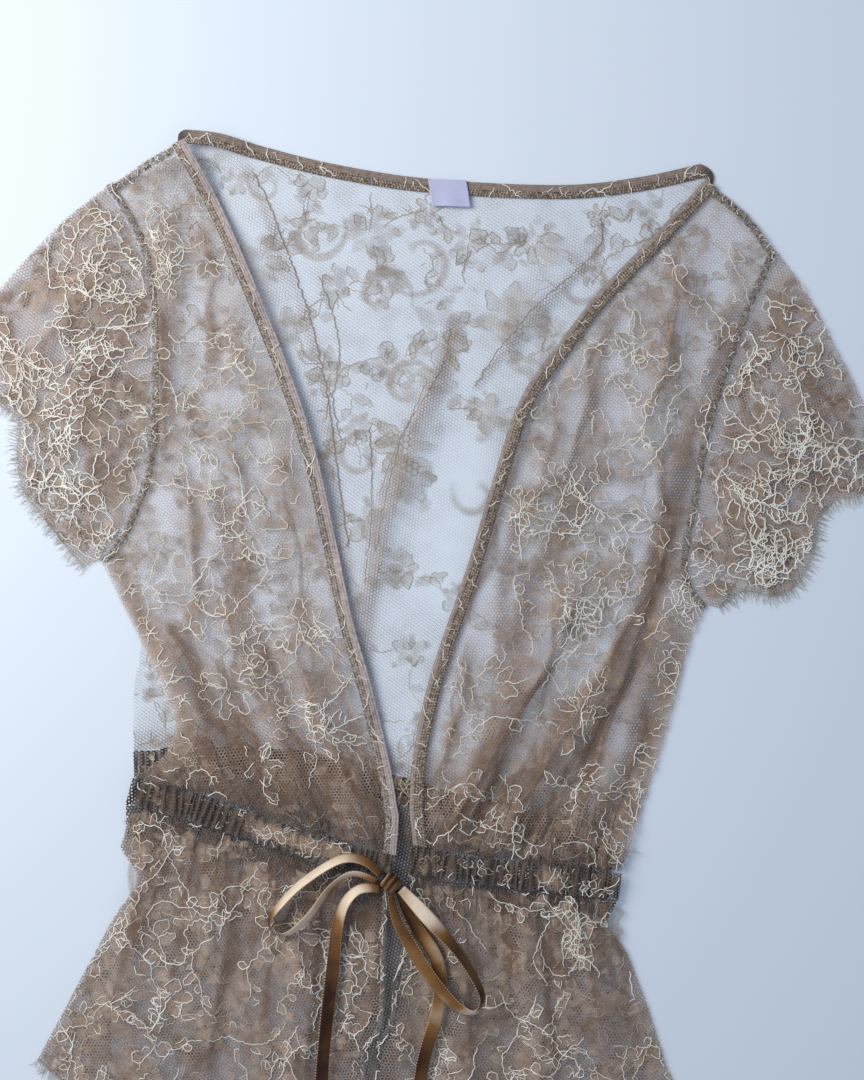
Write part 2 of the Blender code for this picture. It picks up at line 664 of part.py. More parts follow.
def make_skirt_front(side, lace, edging, eyelashes):
    """One skirt front with its rolled edge; side is -1 for the left and 1 for the right."""
    name, waist, edge = (("left", WAIST_LEFT, SKIRT_EDGE_LEFT) if side < 0
                         else ("right", WAIST_RIGHT, SKIRT_EDGE_RIGHT))
    shares = [width / length_of(waist) for width in (0.0, EDGE_WIDTH, EDGE_WIDTH + SEAM)]
    corners = [waist_edge(waist, 1, -1, share, 1 - share)[1 if side < 0 else 0] for share in shares]
    rim = resample((corners[0], *edge), SKIRT_ROWS)
    border = [corners[1], *offset(rim, side * EDGE_WIDTH)[1:]]
    cut = [corners[2], *offset(rim, side * (EDGE_WIDTH + SEAM))[1:]]
    strip(f"skirt_edge_{name}", rim, border, front_under, edging, EDGE_WALL)
    if side < 0:
        top = waist_edge(waist, SKIRT_FRONT_COLUMNS, -1, 0.0, 1 - shares[2])
        hem = scalloped((*HEM_LEFT, cut[-1]), SKIRT_FRONT_COLUMNS)
        seam = resample((top[0], *SKIRT_LEFT[:-1], hem[0]), SKIRT_ROWS)
        grid = coons(top, hem, seam, cut)
    else:
        top = waist_edge(waist, SKIRT_FRONT_COLUMNS, -1, shares[2], 1.0)
        hem = scalloped((cut[-1], *HEM_RIGHT), SKIRT_FRONT_COLUMNS)
        seam = resample((top[-1], *SKIRT_RIGHT[:-1], hem[-1]), SKIRT_ROWS)
        grid = coons(top, hem, cut, seam)
    panel(f"skirt_front_{name}", grid, on_back_front, lace, gaps=hem_gaps(SKIRT_FRONT_COLUMNS))
    eyelash(f"eyelash_skirt_{name}", hem, -1, front_under, eyelashes)


def make_waist(lace):
    gathered("casing_back", WAIST_BACK, GATHERS_BACK, lambda x, y: 0.0, lace)
    gathered("casing_front_left", WAIST_LEFT, GATHERS_LEFT, front_under, lace)
    gathered("casing_front_right", WAIST_RIGHT, GATHERS_RIGHT, front_under, lace)


def make_bow(satin):
    for name, line in (("ribbon_casing_left", WAIST_LEFT), ("ribbon_casing_right", WAIST_RIGHT)):
        middle = resample(line, RIBBON_COLUMNS, RIBBON_INSET, 1 - RIBBON_INSET)
        strip(name, offset(middle, RIBBON_WIDTH / 2), offset(middle, -RIBBON_WIDTH / 2), on_back,
              satin, RIBBON_WALL)
    knot(satin)
    ribbon("ribbon_loop_left", LOOP_LEFT, LOOP_SEGMENTS, from_knot(smooth_base), satin)
    ribbon("ribbon_loop_right", LOOP_RIGHT, LOOP_SEGMENTS, from_knot(smooth_base), satin)
    ribbon("ribbon_tail_left", TAIL_LEFT, TAIL_SEGMENTS, from_knot(on_front), satin)
    ribbon("ribbon_tail_right", TAIL_RIGHT, TAIL_SEGMENTS, from_knot(on_front), satin)


def make_label(woven):
    """The neck label, sewn to the binding and hanging over the back panel."""
    rows = []
    for j in range(LABEL_ROWS + 1):
        y = LABEL_CORNER.y - LABEL_HEIGHT * j / LABEL_ROWS
        rows.append([(LABEL_CORNER.x + LABEL_WIDTH * i / LABEL_COLUMNS, y) for i in range(LABEL_COLUMNS + 1)])
    panel("neck_label", rows, lambda x, y, i, j: BINDING_WALL + SEAM, woven, LABEL_WALL)


def centre_on_table():
    """Move every mesh so that the whole part stands over the origin."""
    pieces = [item for item in bpy.data.objects if item.type == "MESH"]
    corners = [vert.co for item in pieces for vert in item.data.vertices]
    low = [min(corner[k] for corner in corners) for k in range(3)]
    high = [max(corner[k] for corner in corners) for k in range(3)]
    shift = Vector((-(low[0] + high[0]) / 2, -(low[1] + high[1]) / 2, -low[2]))
    for item in pieces:
        item.data.transform(Matrix.Translation(shift))


clear_scene()
lace_finish = finish("lace", LACE_COLOUR, 0.85)
binding_finish = finish("binding", BINDING_COLOUR, 0.7)
satin_finish = finish("satin", RIBBON_COLOUR, 0.3)
woven_finish = finish("label", LABEL_COLOUR, 0.6)
eyelash_finish = finish("eyelash", EYELASH_COLOUR, 0.85)
make_back(lace_finish, binding_finish)
make_front("front_left", "neck_binding_left", LEFT_V, -1, LEFT_ARMHOLE, LEFT_SIDE_FRONT, WAIST_LEFT,
           lace_finish, binding_finish)
make_front("front_right", "neck_binding_right", RIGHT_V, 1, RIGHT_ARMHOLE, RIGHT_SIDE, WAIST_RIGHT,
           lace_finish, binding_finish)
make_sleeve("left", LEFT_ARMHOLE, LEFT_OVERARM, LEFT_SLEEVE_HEM, -1, lace_finish, eyelash_finish)
make_sleeve("right", RIGHT_ARMHOLE, RIGHT_OVERARM, RIGHT_SLEEVE_HEM, 1, lace_finish, eyelash_finish)
make_waist(lace_finish)
make_skirt(lace_finish, binding_finish, eyelash_finish)
make_bow(satin_finish)
make_label(woven_finish)
centre_on_table()
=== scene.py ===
import math
import random
from collections import namedtuple

import bmesh
import bpy
import numpy as np
from mathutils import Matrix, Vector


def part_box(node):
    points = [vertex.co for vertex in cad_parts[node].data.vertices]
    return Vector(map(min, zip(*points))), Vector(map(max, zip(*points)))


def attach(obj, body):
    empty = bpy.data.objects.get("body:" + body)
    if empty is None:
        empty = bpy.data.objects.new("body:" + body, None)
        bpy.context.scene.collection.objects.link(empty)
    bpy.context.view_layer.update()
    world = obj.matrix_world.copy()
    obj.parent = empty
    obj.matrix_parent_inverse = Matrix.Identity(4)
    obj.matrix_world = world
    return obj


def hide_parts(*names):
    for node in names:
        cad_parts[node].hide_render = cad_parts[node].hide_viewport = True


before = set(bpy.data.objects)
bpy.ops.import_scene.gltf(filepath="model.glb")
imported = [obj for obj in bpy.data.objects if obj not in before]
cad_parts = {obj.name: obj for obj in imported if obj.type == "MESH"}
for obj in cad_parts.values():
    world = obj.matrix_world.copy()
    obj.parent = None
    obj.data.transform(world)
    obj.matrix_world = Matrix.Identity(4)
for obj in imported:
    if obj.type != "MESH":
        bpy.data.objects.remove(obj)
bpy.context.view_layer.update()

# Table, light and camera: the garment lies on a plain pale table, in soft daylight from a large window
# at the upper left, and is seen from straight above. Plan sizes are in millimetres from the table's mark.
MM = 0.001
LABEL_CORNER = (-2.0, 302.5)
label_low, label_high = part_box("neck_label")
MARK = Vector((label_low[0] / MM - LABEL_CORNER[0], label_high[1] / MM - LABEL_CORNER[1], 0.0))
TO_FRAME = Matrix.Scale(MM, 4) @ Matrix.Translation(MARK)
VIEW_CENTRE = Vector((0.65, 67.6, 0.0))
VIEW_HEIGHT = 702.0
CAMERA_HEIGHT = 1150.0
CLOTH_LEVEL = 6.0
SENSOR = 36.0
TABLE_SIZE = 9.0
TABLE_ROUGHNESS = 0.55
TABLE_CLOUDS = 3.0
TABLE_COLOURS = ((0.80, 0.88, 0.985, 1.0), (0.83, 0.90, 0.995, 1.0))
WINDOW_PLACE = Vector((-0.9, 0.5, 0.9))
WINDOW_SIZE = 0.8
WINDOW_POWER = 14.4
WINDOW_COLOUR = (1.0, 0.975, 0.93)
ROOM_COLOUR = (0.81, 0.94, 1.14, 1.0)
ROOM_STRENGTH = 0.36
MOST_LAYERS = 40


def make(tree, kind, sockets=None, **settings):
    """A shader node with its settings, and its sockets set or linked."""
    item = tree.nodes.new(kind)
    for key, value in settings.items():
        setattr(item, key, value)
    for key, value in (sockets or {}).items():
        if isinstance(value, bpy.types.NodeSocket):
            tree.links.new(value, item.inputs[key])
        else:
            item.inputs[key].default_value = value
    return item


def mixed(tree, share, first, second):
    """A colour between two others."""
    return make(tree, "ShaderNodeMix", {0: share, 6: first, 7: second}, data_type="RGBA").outputs[2]


def calc(tree, operation, *values, clamp=False):
    sockets = dict(enumerate(values))
    return make(tree, "ShaderNodeMath", sockets, operation=operation, use_clamp=clamp).outputs[0]


def finish(name, roughness):
    """A new material, its tree, its shader and the place of each point on the object."""
    material = bpy.data.materials.new(name)
    material.use_nodes = True
    tree = material.node_tree
    shader = tree.nodes["Principled BSDF"]
    shader.inputs["Roughness"].default_value = roughness
    place = make(tree, "ShaderNodeTexCoord").outputs["Object"]
    return material, tree, shader, place


def cloudy(tree, place, scale, detail=2.0):
    """Soft uneven spots, from 0 to 1."""
    sockets = {"Vector": place, "Scale": scale, "Detail": detail}
    return make(tree, "ShaderNodeTexNoise", sockets).outputs["Fac"]


def dress(tree, shader, colour, height, strength, depth, sheen, cover=None):
    """Give a shader its colour, its relief of the given depth in metres, its sheen and its cover."""
    bump = make(tree, "ShaderNodeBump", {"Height": height, "Strength": strength, "Distance": depth})
    tree.links.new(colour, shader.inputs["Base Color"])
    tree.links.new(bump.outputs["Normal"], shader.inputs["Normal"])
    shader.inputs["Sheen Weight"].default_value = sheen
    if cover is not None:
        tree.links.new(cover, shader.inputs["Alpha"])


def to_mesh(name, bm):
    mesh = bpy.data.meshes.new(name)
    bm.to_mesh(mesh)
    bm.free()
    return mesh


def show(name, data):
    """A new object in the scene, unturned at the origin."""
    item = bpy.data.objects.new(name, data)
    bpy.context.scene.collection.objects.link(item)
    return item


table_finish, tree, shader, place = finish("table_paint", TABLE_ROUGHNESS)
tree.links.new(mixed(tree, cloudy(tree, place, TABLE_CLOUDS), *TABLE_COLOURS), shader.inputs["Base Color"])
bm = bmesh.new()
bmesh.ops.create_grid(bm, x_segments=4, y_segments=4, size=TABLE_SIZE)
mesh = to_mesh("table", bm)
mesh.materials.append(table_finish)
table = show("table", mesh)

window = show("window", bpy.data.lights.new("window", "AREA"))
window.data.size = WINDOW_SIZE
window.data.energy = WINDOW_POWER
window.data.color = WINDOW_COLOUR
window.location = WINDOW_PLACE
window.rotation_euler = (-WINDOW_PLACE).to_track_quat("-Z", "Y").to_euler()

room = bpy.data.worlds.new("room")
room.use_nodes = True
glow = room.node_tree.nodes["Background"].inputs
glow["Color"].default_value = ROOM_COLOUR
glow["Strength"].default_value = ROOM_STRENGTH
bpy.context.scene.world = room

camera = show("camera", bpy.data.cameras.new("camera"))
camera.data.sensor_width = SENSOR
camera.data.lens = SENSOR * (CAMERA_HEIGHT - CLOTH_LEVEL) / VIEW_HEIGHT
camera.location = TO_FRAME @ (VIEW_CENTRE + Vector((0.0, 0.0, CAMERA_HEIGHT)))
bpy.context.scene.camera = camera
bpy.context.scene.cycles.transparent_max_bounces = MOST_LAYERS
bpy.context.scene.view_settings.view_transform = "Standard"

# Lie of the cloth: the back rests on the table and the fronts on the back, each with its largest folds.
# A map of heights for each layer, made from the outlines and the folds, carries every piece below.
WALL = 1.3
SEAM = 0.3
CASING_HEIGHT = 18.0
CASING_WALL = 1.4
GATHER_RISE = 1.6
RIBBON_WALL = 1.0
WAIST_EASE = CASING_HEIGHT / 2 + 2.0
SETTLE_RADIUS = 14.0
FOLD_TAPER = 0.22
CURVE_STEPS = 16
PLAN_STEP = 2.0
PLAN_X = np.arange(-330.0, 331.0, PLAN_STEP)
PLAN_Y = np.arange(-362.0, 363.0, PLAN_STEP)
plan_x, plan_y = np.meshgrid(PLAN_X, PLAN_Y)

WAIST_BACK = ((-194, -79), (-130, -76), (-66, -82), (0, -102), (58, -115), (121, -140))
WAIST_LEFT = ((-196, -95), (-157, -105), (-111, -120), (-66, -135), (-25, -146))
WAIST_RIGHT = ((-13, -140), (40, -148), (123, -157))

Fold = namedtuple("Fold", "x0 y0 x1 y1 half rise")


def rows(kind, *table):
    """A table whose rows have the named columns of their kind."""
    return tuple(kind(*row) for row in table)


BACK_FOLDS = rows(
    Fold,
    (-196, 322, -112, 340, 30, 5.0), (103, 272, 32, 178, 20, 5.0), (9, 192, -45, 20, 20, 5.0),
    (-131, 308, -66, 55, 19, 4.0), (70, 200, 5, 60, 18, 2.5), (-150, -62, -150, 20, 18, 2.5),
    (-60, -62, -52, 30, 18, 3.0), (70, -105, 90, -10, 18, 2.5), (-150, -80, -196, -330, 22, 4.0),
    (-92, -84, -112, -350, 22, 3.5), (-38, -96, -40, -360, 22, 4.5), (16, -108, 26, -366, 22, 3.5),
    (70, -122, 98, -360, 22, 4.0),
)
FRONT_FOLDS = rows(
    Fold,
    (-196, 320, -130, 300, 30, 4.0), (-172, 292, -168, 130, 17, 3.0), (-108, -124, -190, 10, 18, 5.5),
    (-68, -136, -136, 40, 16, 4.0), (-34, -142, -98, 20, 17, 5.5), (-120, 250, -135, 90, 20, 3.0),
    (4, -142, 104, 56, 18, 5.5), (30, -150, 144, 10, 18, 5.5), (88, -156, 168, 50, 17, 4.5),
    (172, 272, 136, 100, 20, 4.0), (112, 200, 60, 60, 20, 3.0), (-176, -96, -226, -320, 18, 4.0),
    (-128, -110, -160, -346, 18, 5.0), (-78, -126, -90, -360, 17, 4.0), (16, -138, 24, -370, 17, 4.5),
    (58, -144, 78, -370, 17, 4.0), (98, -148, 136, -366, 17, 4.5),
)


def runs_of(points):
    """How far along a line each of its points is."""
    return np.concatenate(([0.0], np.cumsum(np.linalg.norm(np.diff(points, axis=0), axis=1))))


def curve(points, count, start=0.0, end=1.0):
    """Even steps along the smooth curve that passes through the given points."""
    points = np.asarray(points, float)
    padded = np.vstack((points[:1], points, points[-1:]))
    t = np.arange(CURVE_STEPS)[:, None] / CURVE_STEPS
    spans = [0.5 * (2 * q + (r - p) * t + (2 * p - 5 * q + 4 * r - s) * t ** 2
                    + (3 * q - p - 3 * r + s) * t ** 3)
             for p, q, r, s in zip(padded, padded[1:], padded[2:], padded[3:])]
    fine = np.vstack((*spans, points[-1:]))
    runs = runs_of(fine[:, :2])
    wanted = runs[-1] * np.linspace(start, end, count + 1)
    return np.column_stack([np.interp(wanted, runs, column) for column in fine.T])


def beside(points, distance):
    """A curve moved sideways in plan, to the left of its own direction where distance is positive."""
    way = np.vstack((points[1] - points[0], points[2:] - points[:-2], points[-1] - points[-2]))
    way = way / np.linalg.norm(way, axis=1, keepdims=True)
    return points + np.column_stack((-way[:, 1], way[:, 0])) * distance


def length_of(points):
    return np.linalg.norm(np.diff(points, axis=0), axis=1).sum()


def ease(value):
    value = np.clip(value, 0.0, 1.0)
    return value * value * (3 - 2 * value)


def rise_of(folds, x, y):
    """Height of soft ridges at points of the cloth, nothing away from them."""
    rise = np.zeros_like(x, float)
    for fold in folds:
        along_x = fold.x1 - fold.x0
        along_y = fold.y1 - fold.y0
        run = math.hypot(along_x, along_y)
        along = ((x - fold.x0) * along_x + (y - fold.y0) * along_y) / run ** 2
        across = np.abs((x - fold.x0) * along_y - (y - fold.y0) * along_x) / run
        crest = fold.rise * np.cos(np.pi / 2 * np.clip(across / fold.half, 0, 1)) ** 2
        rise = np.maximum(rise, crest * ease(along / FOLD_TAPER) * ease((1 - along) / FOLD_TAPER))
    return rise


def near(line, x, y, full, gone):
    """1 within the full distance of a curve in plan, falling to 0 at the distance gone."""
    nearest = np.full(np.shape(x), 1e6)
    for stop in line:
        nearest = np.minimum(nearest, np.hypot(x - stop[0], y - stop[1]))
    return ease((gone - nearest) / (gone - full))


def sample(heights, x, y):
    """Height of a layer at plan points, between the stops of its map."""
    across = np.clip((np.asarray(x) - PLAN_X[0]) / PLAN_STEP, 0, len(PLAN_X) - 1.001)
    down = np.clip((np.asarray(y) - PLAN_Y[0]) / PLAN_STEP, 0, len(PLAN_Y) - 1.001)
    i = across.astype(int)
    j = down.astype(int)
    u = across - i
    v = down - j
    return ((heights[j, i] * (1 - u) + heights[j, i + 1] * u) * (1 - v)
            + (heights[j + 1, i] * (1 - u) + heights[j + 1, i + 1] * u) * v)


def settled(heights):
    """The highest value of a lower layer round each point, which cloth laid on it bridges."""
    highest = heights
    for ring in (0.5, 1.0):
        for step in range(8):
            reach = SETTLE_RADIUS * ring
            angle = math.pi * step / 4
            highest = np.maximum(highest, sample(heights, plan_x + reach * math.cos(angle),
                                                 plan_y + reach * math.sin(angle)))
    return highest


waist_back_line = curve(WAIST_BACK, 60)
waist_front_line = np.vstack((curve(WAIST_LEFT, 30), curve(WAIST_RIGHT, 30)))
back_under = rise_of(BACK_FOLDS, plan_x, plan_y)
back_gathers = GATHER_RISE * near(waist_back_line, plan_x, plan_y, WAIST_EASE, CASING_HEIGHT)
back_top = np.maximum(back_under, back_gathers) + WALL + (CASING_WALL - WALL) * (back_gathers > 0)
on_back = settled(back_top) + SEAM
round_waist = near(waist_front_line, plan_x, plan_y, WAIST_EASE, 2 * CASING_HEIGHT)
ribbon_room = (RIBBON_WALL + 2 * SEAM) * round_waist
front_under = on_back + ribbon_room + rise_of(FRONT_FOLDS, plan_x, plan_y)
front_gathers = GATHER_RISE * near(waist_front_line, plan_x, plan_y, WAIST_EASE, CASING_HEIGHT)
on_front = settled(front_under + WALL + front_gathers) + SEAM

# Back bodice: one panel of sheer hexagonal net, cut from the shoulders to the waist. It lies with its right
# side down, so the flowers of denser clothwork and the cord sewn round them show through from below.
BACK_COLUMNS = 190
ARMHOLE_ROWS = 84
SIDE_ROWS = 56
BACK_LEVEL = 0.9
NET_CELL = 2.2
NET_SIDES = (0, 120, 240)
OPEN_SCALE = 0.52
THREAD_GAIN = 1.7
NET_ROUGHNESS = 0.8
NET_CLOUDS = 55.0
CLOUD_GAIN = 0.7
DENSE_GAIN = 2.6
DENSE_TONE = 0.9
TONE_CLOUDS = 90.0
OPEN_LIMIT = -0.9
BACK_NET = (-1.05, 0.6)
BACK_NET_COLOURS = ((0.47, 0.35, 0.28, 1.0), (0.28, 0.19, 0.14, 1.0))
# near-black that painted shade mixes the colours of nets, casings and bands towards
PAINTED_SHADE_COLOUR = (0.035, 0.024, 0.019, 1.0)
CLOTH_ROUGHNESS = 0.85
CLOTH_SPOTS = 620.0
CLOTH_CLOUDS = 120.0
SPOT_GAIN = 2.2
CLOTH_COLOURS = ((0.76, 0.59, 0.47, 1.0), (0.25, 0.15, 0.094, 1.0))
BACK_CLOTH_COLOURS = ((0.60, 0.52, 0.42, 1.0), (0.25, 0.185, 0.13, 1.0))
CORD_ROUGHNESS = 0.65
CORD_CLOUDS = 45.0
CORD_TWIST = 1400.0
CORD_COLOURS = ((1.0, 0.97, 0.89, 1.0), (0.70, 0.59, 0.45, 1.0))
OUTLINE_COLOURS = ((0.80, 0.71, 0.56, 1.0), (0.34, 0.26, 0.18, 1.0))
UNDER_CORD_COLOURS = ((0.76, 0.66, 0.46, 1.0), (0.26, 0.19, 0.12, 1.0))
UNDER_OUTLINE_COLOURS = ((0.74, 0.64, 0.44, 1.0), (0.16, 0.11, 0.07, 1.0))
FOLD_COLOURS = ((0.40, 0.32, 0.24, 1.0), (0.12, 0.085, 0.06, 1.0))
CORD_STEP = 2.0
FINE_RADIUS = 0.16
LARGE_BLOOM = 15.0
PATCH_CELLS = (6, 3)
PATCH_LIFT = 0.22
STREAK_CELLS = (24, 4)
STREAK_LIFT = 0.14
SCROLL_CELLS = (44, 4)
SCROLL_LIFT = -0.15
THREAD_LIFT = 0.25
FOLD_RADIUS = 0.27
LEFT_ARMHOLE = ((-212, 298), (-192, 262), (-184, 224), (-183, 159), (-187, 113), (-202, 74), (-216, 55))
RIGHT_ARMHOLE = ((226, 255), (204, 204), (185, 146), (175, 94), (168, 48), (180, 25))
LEFT_SIDE_BACK = ((-216, 55), (-203, 29), (-190, 3), (-194, -30))
RIGHT_SIDE = ((180, 25), (168, -4), (157, -46), (146, -82), (134, -118))
LEFT_SHOULDER = (-186, 313)
RIGHT_SHOULDER = (207, 280)
BACK_NECK = (
    (-158, 325), (-140, 323), (-118, 317), (-66, 304), (-1, 294), (84, 290), (136, 295), (178, 304),
)
V_CREASES = rows(
    Fold,
    (-116, 306, -66, 120, 2.2, 0.9), (112, 258, 28, 170, 3.0, 0.7), (14, 200, -18, 125, 3.2, 1.4),
    (-14, 133, -44, 10, 3.0, 1.4),
)
Pleat = namedtuple("Pleat", "width weight stops")
BACK_PLEATS = rows(
    Pleat,
    (7, 0.10, ((111, 276), (106, 254), (68, 216), (30, 168))),
    (14, 0.14, ((15, 206), (8, 176), (-14, 134), (-31, 84), (-42, 22), (-46, -20))),
    (9, 0.10, ((-120, 308), (-104, 274), (-82, 212), (-70, 163), (-62, 98), (-54, 50))),
)
FOLD_LINES = (
    ((111, 278), (108, 257), (68, 219), (48, 196), (28, 168)),
    ((13, 206), (5, 176), (-18, 136), (-30, 92), (-36, 60)), ((-2, 172), (-24, 124), (-34, 96)),
    ((-116, 308), (-100, 272), (-79, 212), (-68, 163), (-60, 104), (-54, 62)),
    ((-73, 240), (-62, 206), (-60, 186), (-64, 156), (-58, 130)), ((-40, 140), (-39, 80), (-44, 40)),
)
OPEN_STRETCH = ((14, 40), (18, 66), (24, 104))
HIDDEN_CREASES = rows(
    Fold,
    (-100, 120, -70, -40, 2.6, 1.2), (-140, 60, -120, -60, 2.6, 1.2), (90, 60, 60, -100, 2.6, 1.2),
    (130, 40, 96, -110, 2.6, 1.2), (20, -20, 4, -90, 2.4, 1.2),
)
Bloom = namedtuple("Bloom", "x y size petals")
BACK_BLOOMS = rows(
    Bloom,
    (-41, 268, 21, 6), (6, 205, 22, 6), (47, 214, 23, 6), (-110, 250, 19, 5), (-20, 128, 20, 6),
    (-10, 108, 14, 5), (-64, 232, 13, 5), (-66, 176, 15, 5), (34, 152, 14, 5), (66, 262, 18, 6),
    (24, 262, 14, 5), (-92, 205, 14, 5), (-50, 140, 12, 5), (-44, 80, 14, 5), (-18, 48, 13, 5),
    (-2, 285, 12, 5),
)
BACK_OPENINGS = ((-20, 132, 8), (-12, 114, 7), (58, 206, 5))
Scroll = namedtuple("Scroll", "x y size turn hand half fill brown")
BACK_SCROLLS = rows(
    Scroll,
    (-76, 268, 25, 0.6, -1, 3.4, 0.36, 0.12), (-32, 228, 24, -0.4, 1, 3.4, 0.36, 0.12),
    (-8, 250, 30, 3.6, 1, 3.0, 0.32, 0.12), (-15, 168, 22, 0.3, 1, 3.1, 0.36, 0.12),
    (-46, 122, 20, 1.2, 1, 2.8, 0.36, 0.12), (28, 98, 19, 2.6, 1, 3.1, 0.36, 0.12),
    (96, 236, 22, 1.0, -1, 3.0, 0.32, 0.12), (-108, 300, 16, 2.0, 1, 2.2, 0.3, 0.1),
)
Clear = namedtuple("Clear", "x y reach")
BACK_CLEAR = rows(
    Clear,
    (-42, 212, 24), (18, 66, 30), (24, 104, 26), (42, 280, 15), (-52, 100, 16),
)
Petal = namedtuple("Petal", "x y turn length half bend fill brown")


def waist_edge(line, count, side, start=0.0, end=1.0):
    """The edge of a panel that meets a casing, above it or below it."""
    return curve(beside(curve(line, 80), side * (CASING_HEIGHT / 2 + SEAM)), count, start, end)


def fill(top, bottom, left, right):
    """A grid of plan points that fills four edges."""
    u = np.linspace(0, 1, len(top))[None, :, None]
    v = np.linspace(0, 1, len(left))[:, None, None]
    return ((1 - v) * top[None] + v * bottom[None] + (1 - u) * left[:, None] + u * right[:, None]
            - (1 - u) * (1 - v) * left[0] - u * (1 - v) * right[0]
            - (1 - u) * v * left[-1] - u * v * right[-1])


def rim(grid):
    """The outline of a grid of plan points, once round."""
    return np.vstack((grid[0], grid[1:, -1], grid[-1, -2::-1], grid[-2:0:-1, 0]))


def inside(outline, points):
    """Which plan points lie within an outline."""
    x = points[:, 0, None]
    y = points[:, 1, None]
    x0, y0 = outline.T
    x1, y1 = np.roll(outline, -1, axis=0).T
    climb = np.where(y1 == y0, 1e-9, y1 - y0)
    hits = ((y0 > y) != (y1 > y)) & (x < (x1 - x0) * (y - y0) / climb + x0)
    return hits.sum(axis=1) % 2 == 1


def creased(heights, creases):
    """A layer's map with narrow creases added."""
    made = heights.copy()
    for crease in creases:
        left, right = sorted((crease.x0, crease.x1))
        low, high = sorted((crease.y0, crease.y1))
        i0, i1 = np.searchsorted(PLAN_X, (left - crease.half, right + crease.half))
        j0, j1 = np.searchsorted(PLAN_Y, (low - crease.half, high + crease.half))
        window = np.s_[j0:j1, i0:i1]
        made[window] += rise_of((crease,), plan_x[window], plan_y[window])
    return made


def steep(heights):
    """How steeply a layer slopes at each point, where its net is seen closed up from above."""
    return np.hypot(*np.gradient(heights, PLAN_STEP))


def doubled(pleats):
    """How much closer the net lies along the folds where it is doubled on itself."""
    closer = np.zeros_like(plan_x)
    for pleat in pleats:
        band = near(curve(pleat.stops, 60), plan_x, plan_y, 0.1 * pleat.width, 0.75 * pleat.width)
        closer = np.maximum(closer, pleat.weight * band)
    return closer


def place_piece(name, mesh, material, slot, *nodes):
    """Put a finished mesh, in millimetres on the table, into the frame as one piece of the garment."""
    mesh.transform(TO_FRAME)
    mesh.materials.clear()
    mesh.materials.append(material)
    mesh.shade_smooth()
    item = show(name, mesh)
    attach(item, "root")
    if nodes:
        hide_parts(*nodes)
    return item


def points_of(mesh):
    points = np.empty(len(mesh.vertices) * 3, np.float32)
    mesh.vertices.foreach_get("co", points)
    return points.reshape(-1, 3)


def set_uv(mesh, name, places):
    """A UV map that gives every corner of a mesh the place of its point."""
    layer = mesh.uv_layers.new(name=name)
    corners = np.empty(len(mesh.loops), np.int32)
    mesh.loops.foreach_get("vertex_index", corners)
    layer.uv.foreach_set("vector", np.asarray(places, np.float32)[corners].ravel())


def set_values(mesh, name, values):
    """One number for each point of a mesh, for its material."""
    mesh.attributes.new(name, "FLOAT", "POINT").data.foreach_set("value", np.asarray(values, np.float32))


def draped(name, grid, z):
    """An open sheet through a grid of plan points at the given heights."""
    last_row = grid.shape[0] - 1
    last_column = grid.shape[1] - 1
    bm = bmesh.new()
    bmesh.ops.create_grid(bm, x_segments=last_column, y_segments=last_row, size=0.5)
    for vert in bm.verts:
        i = round((vert.co.x + 0.5) * last_column)
        j = round((0.5 - vert.co.y) * last_row)
        vert.co = (*grid[j, i], z[j, i])
    return to_mesh(name, bm)


def grid_order(mesh, grid):
    """Which point of its grid each point of a draped sheet is."""
    flat = grid.reshape(-1, 2)
    return np.array([np.argmin(np.abs(flat - spot).sum(axis=1)) for spot in points_of(mesh)[:, :2]])


def net_waves(tree, place, scale):
    """Three crossing waves that rise over the holes of a hexagonal net and sink along its threads."""
    reach = scale * 4 * math.pi / math.sqrt(3)
    waves = []
    for side in NET_SIDES:
        way = (reach * math.cos(math.radians(side)), reach * math.sin(math.radians(side)), 0.0)
        run = make(tree, "ShaderNodeVectorMath", {0: place, 1: way}, operation="DOT_PRODUCT")
        waves.append(calc(tree, "COSINE", run.outputs["Value"]))
    return calc(tree, "ADD", calc(tree, "ADD", waves[0], waves[1]), waves[2])


def named(tree, name):
    return make(tree, "ShaderNodeAttribute", attribute_name=name).outputs["Fac"]


def net_finish(name, colours, limit, weight):
    """Net: fine twisted threads round open cells, closer where the cloth doubles, wider where it opens."""
    material, tree, shader, place = finish(name, NET_ROUGHNESS)
    cells = make(tree, "ShaderNodeUVMap", uv_map="Net").outputs["UV"]
    dense = named(tree, "dense")
    clouds = calc(tree, "SUBTRACT", cloudy(tree, place, NET_CLOUDS, 3.0), 0.5)
    uneven = calc(tree, "MULTIPLY_ADD", clouds, CLOUD_GAIN, limit)
    fine = net_waves(tree, cells, 1.0)
    small = calc(tree, "LESS_THAN", fine, calc(tree, "MULTIPLY_ADD", dense, DENSE_GAIN, uneven))
    large = calc(tree, "LESS_THAN", net_waves(tree, cells, OPEN_SCALE), OPEN_LIMIT)
    is_open = calc(tree, "GREATER_THAN", named(tree, "open"), 0.5)
    thread = make(tree, "ShaderNodeMix", {0: is_open, 2: small, 3: large}).outputs[0]
    share = calc(tree, "MULTIPLY_ADD", dense, THREAD_GAIN, weight, clamp=True)
    cover = calc(tree, "MULTIPLY", thread, share)
    tone = calc(tree, "MULTIPLY_ADD", dense, DENSE_TONE, cloudy(tree, place, TONE_CLOUDS), clamp=True)
    # painted shade: each point's painted-shade number mixes the thread colour towards a near-black
    body = mixed(tree, named(tree, "painted_shade"), mixed(tree, tone, *colours), PAINTED_SHADE_COLOUR)
    dress(tree, shader, body, fine, 0.3, -0.0002, 0.25, cover)
    return material


